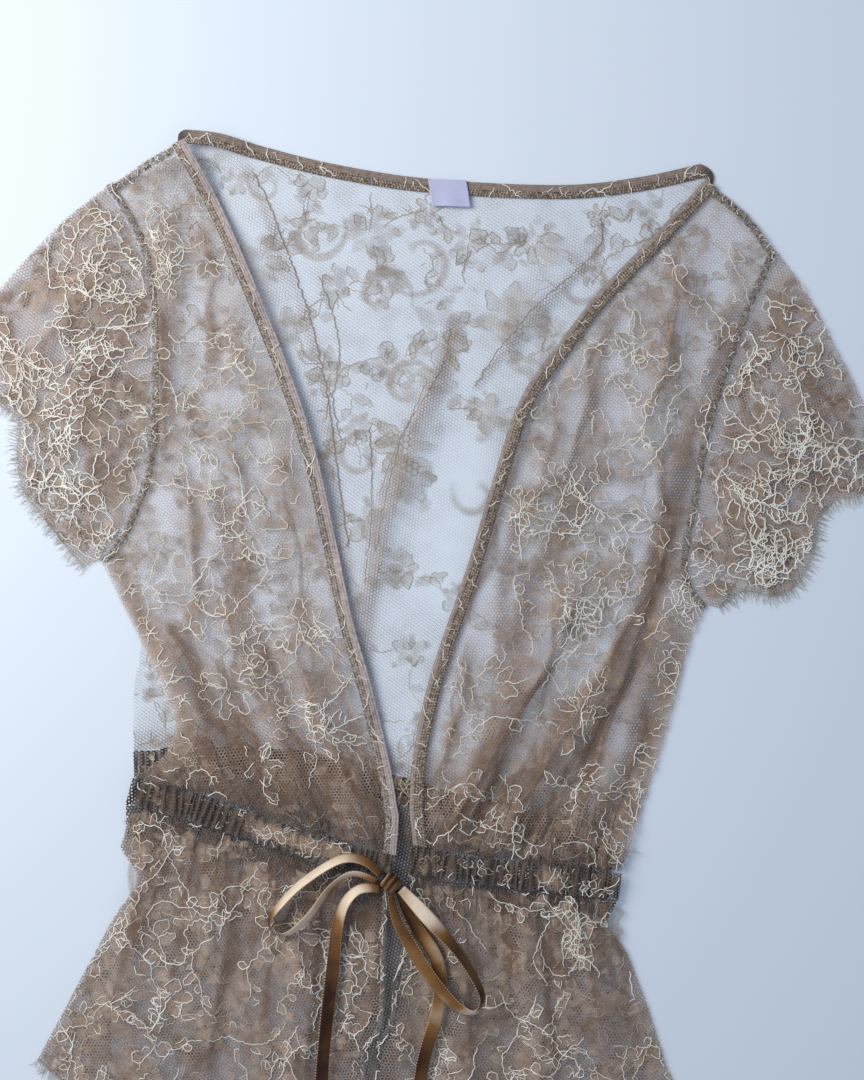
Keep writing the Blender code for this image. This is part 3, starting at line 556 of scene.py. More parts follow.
def clothwork_finish(name, colours):
    """Clothwork: the close-woven filling of flowers and leaves, half sheer and a little uneven."""
    material, tree, shader, place = finish(name, CLOTH_ROUGHNESS)
    spots = cloudy(tree, place, CLOTH_SPOTS)
    share = calc(tree, "MULTIPLY", spots, SPOT_GAIN)
    cover = calc(tree, "MULTIPLY", named(tree, "fill"), share, clamp=True)
    clouds = calc(tree, "SUBTRACT", cloudy(tree, place, CLOTH_CLOUDS), 0.5)
    tone = calc(tree, "ADD", named(tree, "brown"), clouds, clamp=True)
    dress(tree, shader, mixed(tree, tone, *colours), spots, 0.4, 0.0004, 0.2, cover)
    return material


def cord_finish(name, colours):
    """Cord: a soft round cotton yarn, cream with tan stretches."""
    material, tree, shader, place = finish(name, CORD_ROUGHNESS)
    tone = calc(tree, "MULTIPLY_ADD", cloudy(tree, place, CORD_CLOUDS, 3.0), 2.2, -0.85, clamp=True)
    dress(tree, shader, mixed(tree, tone, *colours), cloudy(tree, place, CORD_TWIST), 0.5, 0.0003, 0.3)
    return material


def beside_line(shape, reach, side):
    """Plan points at the given distances along a shape's own line and beside it."""
    c = math.cos(shape.turn)
    s = math.sin(shape.turn)
    return np.column_stack((shape.x + c * reach - s * side, shape.y + s * reach + c * side))


def petal_plan(petal, along, across):
    """Plan points of a petal or leaf: along it from its root, and across it from edge to edge."""
    waver = 1 + 0.22 * np.sin(8 * along + 7 * petal.turn) + 0.14 * np.sin(17 * along + petal.x)
    width = petal.half * (0.12 + 0.88 * np.abs(np.sin(np.pi * along ** 0.8)) ** 0.75) * waver
    return beside_line(petal, petal.length * along, width * across + petal.bend * petal.length * along ** 2)


def streak_plan(streak, along, across):
    """Plan points of a doubled streak of cloth, which runs nearly straight and thins out at its ends."""
    waver = 1 + 0.3 * np.sin(11 * along + 9 * streak.turn)
    width = streak.half * (0.2 + 0.8 * np.sqrt(np.abs(np.sin(np.pi * along)))) * waver
    drift = np.sin(7 * along + 5 * streak.turn) + 0.6 * np.sin(17 * along + streak.x)
    return beside_line(streak, streak.length * along, width * across + streak.half * drift)


def scroll_plan(scroll, along, across):
    """Plan points of a scroll that winds in to its middle."""
    angle = scroll.turn + scroll.hand * along * 1.6 * math.pi
    bead = 0.9 * np.exp(-((along - 0.95) / 0.07) ** 2)
    width = scroll.half * (0.3 + 0.7 * np.sin(np.pi * along) + bead)
    radius = scroll.size * (0.85 - 0.55 * along) + width * across
    return np.column_stack((scroll.x + radius * np.cos(angle), scroll.y + radius * np.sin(angle)))


def lay_patches(name, shapes, plan, cells, heights, lift, material, fading=0.6):
    """Thin patches of clothwork on a layer, all in one mesh, fainter towards their edges."""
    bm = bmesh.new()
    for _ in shapes:
        bmesh.ops.create_grid(bm, x_segments=cells[0], y_segments=cells[1], size=0.5)
    mesh = to_mesh(name, bm)
    count = (cells[0] + 1) * (cells[1] + 1)
    unit = points_of(mesh)[:count]
    along = np.clip(unit[:, 0] + 0.5, 0, 1)
    across = unit[:, 1] * 2
    spots = np.vstack([plan(shape, along, across) for shape in shapes])
    z = sample(heights, *spots.T) + lift
    mesh.vertices.foreach_set("co", np.column_stack((spots, z)).astype(np.float32).ravel())
    fade = (1 - fading * across ** 2) * (1 - fading * (2 * along - 1) ** 4)
    set_values(mesh, "fill", np.concatenate([shape.fill * fade for shape in shapes]))
    set_values(mesh, "brown", np.repeat([shape.brown for shape in shapes], count))
    mesh.update()
    return place_piece(name, mesh, material, "lace")


def wander(rng, points, amount):
    """A cord's line with the small uneven kinks of hand-guided sewing, thinner at its ends."""
    points = np.asarray(points, float)
    runs = runs_of(points)
    count = max(round(runs[-1] / CORD_STEP), 2)
    wanted = np.linspace(0, runs[-1], count + 1)
    line = np.column_stack([np.interp(wanted, runs, column) for column in points.T])
    line += [[rng.gauss(0, amount), rng.gauss(0, amount)] for _ in line]
    size = rng.uniform(0.75, 1.2)
    stops = np.arange(count + 1)
    girth = size * np.clip(0.55 + np.minimum(stops, stops[::-1]) / 3, 0, 1)
    return np.column_stack((line, girth))


def within(outline, line):
    """The stretches of a cord that lie on its panel."""
    kept = inside(outline, line[:, :2])
    runs = np.split(np.arange(len(line)), np.flatnonzero(np.diff(kept.astype(int))) + 1)
    return [line[run] for run in runs if kept[run[0]] and len(run) > 2]


def lay_threads(name, lines, heights, lift, radius, material, slot, *nodes):
    """Round threads along their lines on a layer, all in one mesh."""
    data = bpy.data.curves.new(name, "CURVE")
    data.dimensions = "3D"
    data.bevel_depth = radius
    data.bevel_resolution = 0
    for line in lines:
        spline = data.splines.new("POLY")
        spline.points.add(len(line) - 1)
        z = sample(heights, line[:, 0], line[:, 1]) + lift
        stops = np.column_stack((line[:, :2], z, np.ones(len(line)))).astype(np.float32)
        spline.points.foreach_set("co", stops.ravel())
        spline.points.foreach_set("radius", line[:, 2].astype(np.float32))
    holder = bpy.data.objects.new(name, data)
    mesh = bpy.data.meshes.new_from_object(holder)
    mesh.name = name
    bpy.data.objects.remove(holder)
    bpy.data.curves.remove(data)
    return place_piece(name, mesh, material, slot, *nodes)


def bloom_petals(rng, bloom, fill, brown):
    """The petals of one flower, set round its middle, none quite alike."""
    petals = []
    start = rng.uniform(0, math.tau)
    for k in range(bloom.petals):
        turn = start + math.tau * (k + rng.uniform(-0.16, 0.16)) / bloom.petals
        length = bloom.size * rng.uniform(0.6, 1.05)
        root = 0.12 * bloom.size
        slender = rng.uniform(0.2, 0.3) if bloom.size > LARGE_BLOOM else rng.uniform(0.28, 0.42)
        petals.append(Petal(bloom.x + root * math.cos(turn), bloom.y + root * math.sin(turn), turn, length,
                            length * slender, rng.uniform(-0.25, 0.25),
                            fill * rng.uniform(0.75, 1.15), brown * rng.uniform(0.5, 1.4)))
    return petals


def crumbs(rng, bloom, fill, brown):
    """Small leaves and buds that crowd the edge of a flower, with no order."""
    bits = []
    for _ in range(rng.randint(5, 10)):
        turn = rng.uniform(0, math.tau)
        away = bloom.size * rng.uniform(0.35, 1.2)
        length = bloom.size * rng.uniform(0.28, 0.75)
        root = (bloom.x + away * math.cos(turn), bloom.y + away * math.sin(turn))
        bits.append(Petal(*root, rng.uniform(0, math.tau), length, length * rng.uniform(0.3, 0.5),
                          rng.uniform(-0.3, 0.3), fill * rng.uniform(0.6, 1.2),
                          brown * rng.uniform(0.3, 1.8)))
    return bits


def petal_outline(petal):
    along = np.linspace(0.0, 1.0, 9)
    return np.vstack((petal_plan(petal, along, 1.0), petal_plan(petal, along[::-1], -1.0)))


def scatter(rng, outline, blooms, spacing, sizes, clear):
    """Flowers all over a panel: the given ones, then more where there is room, none on its clear spots."""
    low = outline.min(axis=0)
    high = outline.max(axis=0)
    placed = list(blooms)
    tries = np.array([[rng.uniform(low[k], high[k]) for k in range(2)] for _ in range(1500)])
    for x, y in tries[inside(outline, tries)]:
        if (all(math.dist((x, y), (other.x, other.y)) > spacing for other in placed)
                and all(math.dist((x, y), (spot.x, spot.y)) > spot.reach for spot in clear)):
            placed.append(Bloom(x, y, rng.uniform(*sizes), rng.choice((5, 5, 6))))
    return placed


Work = namedtuple("Work", "seed spacing sizes fill brown corded outlined amount radius streak vines lean")


def stretch_of(rng, line):
    """Most of a line, as a cord that starts and stops where the hand did."""
    first = int(rng.uniform(0, 0.35) * len(line))
    return line[first:max(int(rng.uniform(0.6, 1.0) * len(line)), first + 3)]


def twig(rng, x, y, turn, reach):
    """A stem that grows from a point, bends on its way and ends in a small hook."""
    stops = [(x, y)]
    for share in (0.4, 0.3, 0.2, 0.1):
        turn += rng.uniform(-0.45, 0.45) * (1.6 - share)
        x += share * reach * math.cos(turn)
        y += share * reach * math.sin(turn)
        stops.append((x, y))
    return curve(stops, 12)


def vine(rng, outline, work):
    """A stem that wanders over a panel, and the leaves along both its sides."""
    low = outline.min(axis=0)
    high = outline.max(axis=0)
    spot = low
    while not inside(outline, spot[None])[0]:
        spot = np.array([rng.uniform(low[k], high[k]) for k in range(2)])
    turn = math.radians(work.lean + rng.choice((0, 180)) + rng.uniform(-35, 35))
    stops = [spot]
    leaves = []
    for _ in range(rng.randint(5, 13)):
        turn += rng.gauss(0, 0.5)
        stops.append(stops[-1] + rng.uniform(4, 9) * np.array((math.cos(turn), math.sin(turn))))
        length = rng.uniform(5, 12)
        leaves.append(Petal(*stops[-1], turn + rng.choice((-1, 1)) * rng.uniform(0.5, 1.4), length,
                            length * rng.uniform(0.22, 0.4), rng.uniform(-0.3, 0.3),
                            work.fill * rng.uniform(0.6, 1.2), work.brown * rng.uniform(0.3, 1.6)))
    return curve(stops, 3 * len(stops)), leaves


def clipped(outline, creases):
    """The parts of creases that lie on their panel."""
    parts = []
    for crease in creases:
        stops = np.linspace((crease.x0, crease.y0), (crease.x1, crease.y1), 30)
        kept = stops[inside(outline, stops)][1:-1]
        if len(kept) > 4:
            parts.append(crease._replace(x0=kept[0, 0], y0=kept[0, 1], x1=kept[-1, 0], y1=kept[-1, 1]))
    return parts


def embroider(panel, outline, blooms, work, heights, lift, side, threads, creases=(), extra=(), clear=()):
    """Clothwork and cords of one panel: flowers, leaves, the stems between them, and doubled creases.

    side is 1 where they lie over the net and -1 where they lie under it. threads are the materials of the
    thick cord and of the fine outline."""
    rng = random.Random(work.seed)
    patch = clothwork if side > 0 else back_clothwork
    placed = scatter(rng, outline, blooms, work.spacing, work.sizes, clear)
    petals = []
    thick = [wander(rng, line, work.amount) for line in extra]
    fine = []
    for index, bloom in enumerate(placed):
        own = bloom_petals(rng, bloom, work.fill, work.brown)
        corded = index < len(blooms) or rng.random() < work.corded
        for other in sorted(placed, key=lambda other: math.dist(other[:2], bloom[:2]))[1:3]:
            away = math.atan2(other.y - bloom.y, other.x - bloom.x)
            span = math.dist(other[:2], bloom[:2])
            if span < 1.8 * work.spacing:
                bow = rng.uniform(-0.22, 0.22) * span
                stops = [(bloom.x + math.cos(away) * span * t - math.sin(away) * b,
                          bloom.y + math.sin(away) * span * t + math.cos(away) * b)
                         for t, b in ((0.25, 0.0), (0.5, bow), (0.75, 0.0))]
                chosen = thick if corded and rng.random() < 0.5 else fine
                chosen.append(wander(rng, curve(stops, 10), work.amount))
                reach = rng.uniform(8, 16)
                turn = away + rng.choice((-1, 1)) * rng.uniform(0.6, 1.2)
                own.append(Petal(*stops[1], turn, reach, reach * 0.26, rng.uniform(-0.2, 0.2), work.fill,
                                 work.brown))
        for petal in own:
            border = petal_outline(petal)
            if corded and rng.random() < 0.8:
                whole = rng.random() < 0.4
                thick.append(wander(rng, border if whole else stretch_of(rng, border), work.amount))
            elif rng.random() < work.outlined:
                fine.append(wander(rng, stretch_of(rng, border), 0.4))
        for bit in crumbs(rng, bloom, work.fill, work.brown):
            own.append(bit)
            if rng.random() < work.outlined:
                fine.append(wander(rng, stretch_of(rng, petal_outline(bit)), 0.4))
        for _ in range(rng.choice((0, 1, 1)) if corded else 0):
            turn = rng.uniform(0, math.tau)
            stem = twig(rng, bloom.x, bloom.y, turn, bloom.size * rng.uniform(0.9, 2.3))
            thick.append(wander(rng, stem, work.amount * 0.8))
            for spot in (5, 9):
                turn = rng.uniform(0, math.tau)
                branch = twig(rng, *stem[spot], turn, bloom.size * rng.uniform(0.25, 0.6))
                thick.append(wander(rng, branch, work.amount * 0.8))
        petals += own
    for _ in range(work.vines):
        stem, leaves = vine(rng, outline, work)
        thick.append(wander(rng, stem, work.amount))
        for leaf in leaves:
            border = petal_outline(leaf)
            whole = rng.random() < 0.3
            if rng.random() < 0.65:
                thick.append(wander(rng, border if whole else stretch_of(rng, border), work.amount))
            x, y = leaf.x + rng.gauss(0, 9), leaf.y + rng.gauss(0, 9)
            fine.append(wander(rng, twig(rng, x, y, rng.uniform(0, math.tau), rng.uniform(3, 8)), 0.3))
        petals += leaves
    ends = np.linspace(0, 1, 6)
    petals = [petal for petal in petals
              if all(inside(outline, petal_plan(petal, ends, edge)).all() for edge in (1.0, -1.0))]
    pieces = [lay_patches(f"{panel}_clothwork", petals, petal_plan, PATCH_CELLS, heights,
                          lift + side * PATCH_LIFT, patch, 0.3)]
    streaks = []
    for crease in clipped(outline, creases):
        run = np.subtract((crease.x1, crease.y1), (crease.x0, crease.y0))
        brown = 1.0 if crease.half > 1.2 else 1.3
        streaks.append(Petal(crease.x0, crease.y0, math.atan2(run[1], run[0]), math.hypot(*run),
                             crease.half * work.streak, 0.0, 0.22 + 0.16 * crease.rise, brown))
    if streaks:
        pieces.append(lay_patches(f"{panel}_streaks", streaks, streak_plan, STREAK_CELLS, heights,
                                  lift + side * STREAK_LIFT, patch, 1.0))
    for label, lines, radius, thread in (("cord", thick, work.radius, threads[0]),
                                         ("outline", fine, FINE_RADIUS, threads[1])):
        kept = [stretch for line in lines for stretch in within(outline, line)]
        pieces.append(lay_threads(f"{panel}_{label}", kept, heights,
                                  lift + side * (THREAD_LIFT + radius), radius, thread, "lace"))
    return pieces


def lace_panel(name, node, grid, heights, lift, turn, dense, material, openings=(), painted_shade=None):
    """The net of one panel, its cells laid at the panel's own turn, darker where it is drawn close, with
    painted shade where a map of it is given.
    """
    z = sample(heights, grid[..., 0], grid[..., 1]) + lift
    mesh = draped(name, grid, z)
    x, y, _ = points_of(mesh).T
    c = math.cos(turn) / NET_CELL
    s = math.sin(turn) / NET_CELL
    set_uv(mesh, "Net", np.column_stack((x * c - y * s, x * s + y * c)))
    set_values(mesh, "dense", sample(dense, x, y))
    spread = np.zeros(len(x))
    for opening_x, opening_y, radius in openings:
        spread = np.maximum(spread, np.hypot(x - opening_x, y - opening_y) < radius)
    set_values(mesh, "open", spread)
    set_values(mesh, "painted_shade", np.zeros(len(x)) if painted_shade is None else sample(painted_shade, x, y))
    return place_piece(name, mesh, material, "lace", node)


back_finish = net_finish("net_from_behind", BACK_NET_COLOURS, *BACK_NET)
clothwork = clothwork_finish("tan_clothwork", CLOTH_COLOURS)
back_clothwork = clothwork_finish("clothwork_seen_from_behind", BACK_CLOTH_COLOURS)
fold_thread = cord_finish("doubled_fold", FOLD_COLOURS)
over_threads = (cord_finish("cream_cord", CORD_COLOURS), cord_finish("tan_outline", OUTLINE_COLOURS))
under_threads = (cord_finish("cord_seen_from_behind", UNDER_CORD_COLOURS),
                 cord_finish("outline_seen_from_behind", UNDER_OUTLINE_COLOURS))
waist = waist_edge(WAIST_BACK, BACK_COLUMNS, 1)
left = np.vstack((curve(LEFT_ARMHOLE, ARMHOLE_ROWS)[:-1], curve((*LEFT_SIDE_BACK, waist[0]), SIDE_ROWS)))
right = np.vstack((curve(RIGHT_ARMHOLE, ARMHOLE_ROWS)[:-1], curve((*RIGHT_SIDE, waist[-1]), SIDE_ROWS)))
neck = curve(BACK_NECK, 140)
shoulders = (curve((left[0], LEFT_SHOULDER, neck[0]), 25), curve((neck[-1], RIGHT_SHOULDER, right[0]), 25))
back_grid = fill(np.vstack((shoulders[0][:-1], neck[:-1], shoulders[1])), waist, left, right)
back_lie = creased(back_under, (*V_CREASES, *HIDDEN_CREASES))
crease_depth = creased(np.zeros_like(back_under), (*V_CREASES, *HIDDEN_CREASES))
back_dense = (0.08 * crease_depth + 0.06 * steep(back_under) + doubled(BACK_PLEATS)
              + 0.16 * near(waist_back_line, plan_x, plan_y, 10, 30)
              - 0.08 * near(OPEN_STRETCH, plan_x, plan_y, 8, 40))
back_net = lace_panel("back_net", "back_bodice", back_grid, back_lie, BACK_LEVEL, 0.1, back_dense,
                      back_finish, BACK_OPENINGS)
back_outline = rim(back_grid)[::3]
back_work = Work(seed=11, spacing=30, sizes=(8, 14), fill=0.22, brown=0.22, corded=0.12, outlined=0.42,
                 amount=0.5, radius=0.2, streak=0.8, vines=14, lean=100)
back_trim = embroider("back", back_outline, BACK_BLOOMS, back_work, back_lie, BACK_LEVEL, -1, under_threads,
                      HIDDEN_CREASES, (), BACK_CLEAR)
lines = [wander(random.Random(12), curve(stops, 60), 0.45) for stops in FOLD_LINES]
back_trim.append(lay_threads("back_fold_lines", lines, back_lie, BACK_LEVEL - THREAD_LIFT, FOLD_RADIUS,
                             fold_thread, "lace"))
back_trim.append(lay_patches("back_scrolls", BACK_SCROLLS, scroll_plan, SCROLL_CELLS, back_lie,
                             BACK_LEVEL + SCROLL_LIFT, back_clothwork, 0.7))

# Fronts: two panels of the same lace, cut with the V and gathered into the waist. They lie right side up on
# the back, so the raised cream cord round their flowers shows, with creases drawn in by the gathers.
FRONT_NET = (-1.0, 0.58)
FRONT_NET_COLOURS = ((0.76, 0.56, 0.46, 1.0), (0.35, 0.24, 0.185, 1.0))
BINDING_WIDTH = 9.0
FRONT_COLUMNS = 110
FRONT_LEVEL = 0.65
SHORT_GATHERS = ((0.7, 1.1), (0.9, 1.5))
GATHER_LINE = 0.28
GATHER_LIFT = 0.2
# near-black thread laid in the gathers' troughs: painted shade there, and the doubled cloth
GATHER_SHADE_COLOURS = ((0.17, 0.125, 0.10, 1.0), (0.05, 0.034, 0.028, 1.0))
LEFT_V = ((-160, 328), (-140, 292), (-118, 243), (-92, 178), (-75, 126), (-62, 68), (-51, 16), (-38, -30),
          (-26, -82), (-21, -114))
RIGHT_V = ((179.5, 303), (145, 266), (110, 230), (82, 194), (58, 159), (40, 106), (25, 55), (-1, -23),
           (-12, -75), (-14, -108))
LEFT_SIDE_FRONT = ((-216, 55), (-203, 29), (-190, 3), (-176, -23), (-166, -52), (-176, -76))
LEFT_CREASES = rows(
    Fold,
    (-85, -127, -183, 29, 3.2, 1.8), (-66, -134, -157, 3, 3.0, 1.6), (-50, -138, -120, 20, 2.6, 1.4),
    (-36, -134, -92, 3, 3.0, 1.8), (-28, -140, -60, -10, 2.4, 1.2), (-105, -122, -170, -40, 2.6, 1.4),
    (-125, -114, -160, -60, 2.4, 1.2), (-85, 133, -56, 3, 2.2, 1.0), (-178, 237, -174, 113, 3.0, 1.6),
    (-160, 120, -150, -20, 2.6, 1.2), (-130, 150, -118, 10, 2.4, 1.0), (-150, 290, -140, 170, 2.4, 1.0),
)
RIGHT_CREASES = rows(
    Fold,
    (84, -150, 164, 100, 3.2, 1.8), (32, -148, 150, 50, 3.2, 1.8), (58, -150, 136, 0, 2.8, 1.6),
    (-1, -140, 84, 3, 3.0, 1.8), (12, -142, 110, 60, 2.6, 1.4), (-6, -138, 30, 10, 2.4, 1.4),
    (108, -154, 145, -30, 2.8, 1.6), (70, -150, 120, -40, 2.6, 1.4), (20, -146, 70, -60, 2.4, 1.2),
    (62, 138, 18, 3, 2.4, 1.2), (168, 262, 140, 130, 3.0, 1.6), (120, 220, 84, 100, 2.6, 1.2),
    (150, 140, 150, 20, 2.6, 1.2), (96, 190, 60, 70, 2.2, 1.0),
)
FRONT_PLEATS = rows(
    Pleat,
    (15, 0.28, ((-168, 6), (-150, -32), (-126, -72), (-82, -112))),
    (14, 0.26, ((-137, 88), (-128, 40), (-124, 8), (-112, -28), (-88, -72), (-70, -118))),
    (12, 0.14, ((-172, 270), (-168, 220), (-174, 170), (-166, 120))),
    (11, 0.14, ((-96, 150), (-92, 96), (-98, 50), (-80, 6), (-60, -60))),
    (17, 0.3, ((108, 112), (84, 70), (66, 40), (56, 0), (48, -64), (26, -124))),
    (19, 0.42, ((166, 120), (153, 70), (138, 19), (120, -24), (96, -58), (54, -98), (28, -130))),
    (13, 0.28, ((146, 20), (140, -34), (124, -86), (100, -138))),
    (15, 0.28, ((198, 216), (182, 164), (165, 124), (156, 76))),
    (10, 0.22, ((56, 84), (46, 34), (46, -26), (30, -90))),
    (13, 0.14, ((120, 216), (104, 176), (106, 142), (84, 96))),
)
LEFT_BLOOMS = rows(
    Bloom,
    (-157, 33, 26, 6), (-165, 150, 20, 5), (-118, 190, 21, 6), (-147, 250, 18, 5), (-90, 110, 18, 5),
    (-118, 78, 22, 6), (-131, -30, 20, 6), (-86, 14, 20, 5), (-68, -58, 18, 5), (-110, -78, 16, 5),
)
RIGHT_BLOOMS = rows(
    Bloom,
    (94, 30, 24, 6), (60, 86, 20, 6), (136, 196, 20, 6), (112, 128, 22, 6), (40, -26, 20, 6),
    (96, -44, 20, 5), (146, 80, 18, 5), (22, -90, 16, 5), (128, -86, 16, 5), (80, 172, 18, 5),
)


def gathers(rng, line, count, reach, leans, sizes=((1.8, 3.0), (0.6, 1.3))):
    """Small creases that run out of a gathered edge, uneven in length and spread."""
    creases = []
    for index in range(count):
        share = (index + 0.5 + rng.uniform(-0.4, 0.4)) / count
        x, y = line[round(share * (len(line) - 1))]
        angle = math.radians(leans[0] + (leans[1] - leans[0]) * share + rng.uniform(-8, 8))
        run = rng.uniform(*reach)
        start = (x - math.cos(angle) * run * FOLD_TAPER * 0.6, y - math.sin(angle) * run * FOLD_TAPER * 0.6)
        creases.append(Fold(*start, x + math.cos(angle) * run, y + math.sin(angle) * run,
                            *(rng.uniform(*ends) for ends in sizes)))
    return creases


def gather_shade_lines(seed, line, count, reach, leans, outline):
    """Thin dark lines where the small gathers of an edge turn under: doubled cloth and painted shade."""
    rng = random.Random(seed)
    lines = []
    for fold in gathers(rng, line, count, reach, leans):
        lines += within(outline, wander(rng, np.linspace((fold.x0, fold.y0), (fold.x1, fold.y1), 6), 0.25))
    return lines


def front_grid(v_edge, side, armhole, side_edge, shoulder, waist):
    """Plan of one front; side is -1 for the left front and 1 for the right."""
    share = (BINDING_WIDTH + SEAM) / length_of(curve(waist, 80))
    fine = curve(v_edge, 60)
    ends = (0.0, 1 - share) if side < 0 else (share, 1.0)
    bottom = waist_edge(waist, FRONT_COLUMNS, 1, *ends)
    corner, panel_end = (bottom[0], bottom[-1]) if side < 0 else (bottom[-1], bottom[0])
    cut = curve((*beside(fine, side * (BINDING_WIDTH + SEAM)), panel_end), ARMHOLE_ROWS + SIDE_ROWS)
    seam = np.vstack((curve(armhole, ARMHOLE_ROWS)[:-1], curve((*side_edge, corner), SIDE_ROWS)))
    if side < 0:
        return fill(curve((seam[0], shoulder, cut[0]), FRONT_COLUMNS), bottom, seam, cut)
    return fill(curve((cut[0], shoulder, seam[0]), FRONT_COLUMNS), bottom, cut, seam)


rng = random.Random(5)
left_gathers = (gathers(rng, waist_edge(WAIST_LEFT, 80, 1), 30, (25, 95), (124, 110))
                + gathers(rng, waist_edge(WAIST_LEFT, 80, 1), 50, (8, 20), (112, 100), SHORT_GATHERS))
right_gathers = (gathers(rng, waist_edge(WAIST_RIGHT, 80, 1), 26, (25, 100), (58, 70))
                 + gathers(rng, waist_edge(WAIST_RIGHT, 80, 1), 40, (8, 20), (74, 90), SHORT_GATHERS))
front_creases = (*LEFT_CREASES, *RIGHT_CREASES, *left_gathers, *right_gathers)
front_lie = creased(front_under, front_creases)
front_depth = creased(np.zeros_like(front_under), front_creases)
front_dense = (0.02 + 0.2 * front_depth + 0.16 * steep(front_under) + doubled(FRONT_PLEATS)
               + 0.05 * near(waist_front_line, plan_x, plan_y, 8, 44))
left_grid = front_grid(LEFT_V, -1, LEFT_ARMHOLE, LEFT_SIDE_FRONT, LEFT_SHOULDER, WAIST_LEFT)
right_grid = front_grid(RIGHT_V, 1, RIGHT_ARMHOLE, RIGHT_SIDE, RIGHT_SHOULDER, WAIST_RIGHT)
# Painted shade on the fronts: near the front casings, and along the doubled pleats where the cloth folds.
waist_shade = 0.72 * near(waist_front_line, plan_x, plan_y, 8, 38)
front_shade = np.clip(waist_shade + 1.1 * doubled(FRONT_PLEATS), 0, 0.9)
front_finish = net_finish("net_from_the_front", FRONT_NET_COLOURS, *FRONT_NET)
left_net = lace_panel("front_left_net", "front_left", left_grid, front_lie, FRONT_LEVEL, 0.45, front_dense,
                      front_finish, (), front_shade)
right_net = lace_panel("front_right_net", "front_right", right_grid, front_lie, FRONT_LEVEL, -0.5,
                       front_dense, front_finish, (), front_shade)
front_work = Work(seed=21, spacing=30, sizes=(9, 15), fill=0.25, brown=0.48, corded=0.12, outlined=0.2,
                  amount=0.6, radius=0.33, streak=1.5, vines=32, lean=115)
left_trim = embroider("front_left", rim(left_grid)[::3], LEFT_BLOOMS, front_work, front_lie, FRONT_LEVEL, 1,
                      over_threads, (*LEFT_CREASES, *left_gathers))
right_trim = embroider("front_right", rim(right_grid)[::3], RIGHT_BLOOMS,
                       front_work._replace(seed=22, vines=40, lean=65), front_lie, FRONT_LEVEL, 1,
                       over_threads, (*RIGHT_CREASES, *right_gathers))
# threads of painted shade in the troughs of the gathers, where the cloth also doubles
gather_shade_thread = cord_finish("turned_gather_shade", GATHER_SHADE_COLOURS)
left_lines = gather_shade_lines(8, waist_edge(WAIST_LEFT, 80, 1), 60, (10, 46), (122, 104), rim(left_grid)[::3])
right_lines = gather_shade_lines(9, waist_edge(WAIST_RIGHT, 80, 1), 46, (10, 46), (64, 84), rim(right_grid)[::3])
for side_name, trim, lines in (("left", left_trim, left_lines), ("right", right_trim, right_lines)):
    trim.append(lay_threads(f"front_{side_name}_gathers", lines, front_lie, FRONT_LEVEL + GATHER_LIFT,
                            GATHER_LINE, gather_shade_thread, "lace"))

# Sleeves: short and set in, each of a back half and a front half that join along the arm's top and
# underarm. The lace's own border is at their hem, with dense flowers, an open mesh and an eyelash edge.
SLEEVE_COLUMNS = 80
SLEEVE_ROWS = 44
SLEEVE_PUFF = 4.0
PUFF_START = 6.0
PUFF_FULL = 42.0
SLEEVE_SPREAD = 3.0
ARMHOLE_SEAM = 0.36
MESH_GAP = 6.0
MESH_INSET = 11.0
LEFT_OVERARM = ((-212, 298), (-241, 275), (-267, 248), (-287, 224), (-295, 205))
LEFT_SLEEVE_HEM = (
    (-295, 205), (-294, 182), (-284, 160), (-268, 149), (-268, 126), (-264, 101), (-250, 82), (-238, 67),
    (-225, 51),
)
RIGHT_OVERARM = ((226, 255), (244, 231), (263, 196), (281, 160), (293, 124))
RIGHT_SLEEVE_HEM = (
    (293, 124), (282, 100), (264, 96), (251, 82), (248, 61), (237, 40), (224, 33), (204, 37), (187, 25),
)
LEFT_SLEEVE_BLOOMS = rows(
    Bloom,
    (-218, 205, 24, 6), (-266, 186, 20, 6), (-226, 150, 22, 6), (-214, 104, 20, 5), (-248, 232, 18, 5),
)
RIGHT_SLEEVE_BLOOMS = rows(
    Bloom,
    (228, 150, 22, 6), (262, 130, 20, 6), (214, 92, 22, 6), (232, 200, 20, 5), (216, 60, 18, 5),
)
LEFT_SLEEVE_CREASES = rows(
    Fold,
    (-200, 250, -270, 170, 3.0, 1.2), (-196, 200, -262, 130, 2.6, 1.0), (-196, 140, -240, 84, 2.6, 1.2),
)
RIGHT_SLEEVE_CREASES = rows(
    Fold,
    (214, 216, 276, 130, 3.0, 1.2), (196, 160, 256, 92, 2.8, 1.2), (186, 100, 236, 50, 2.6, 1.2),
)


def border_cords(rng, hem, side):
    """Cords of the lace's border: long leaves laid one after the other along the hem, row above row."""
    lines = []
    step = length_of(hem) / (len(hem) - 1)
    for distance in (8, 18, 29):
        rail = beside(hem, side * distance)
        stop = rng.randint(1, 5)
        while stop < len(rail) - 5:
            reach = rng.uniform(13, 26)
            way = rail[stop + 4] - rail[stop]
            leaf = Petal(*rail[stop], math.atan2(way[1], way[0]) + rng.uniform(-0.5, 0.5), reach,
                         reach * rng.uniform(0.2, 0.34), rng.uniform(-0.25, 0.25), 0.0, 0.0)
            lines.append(petal_outline(leaf))
            stop += max(round(rng.uniform(0.7, 1.05) * reach / step), 2)
    return lines


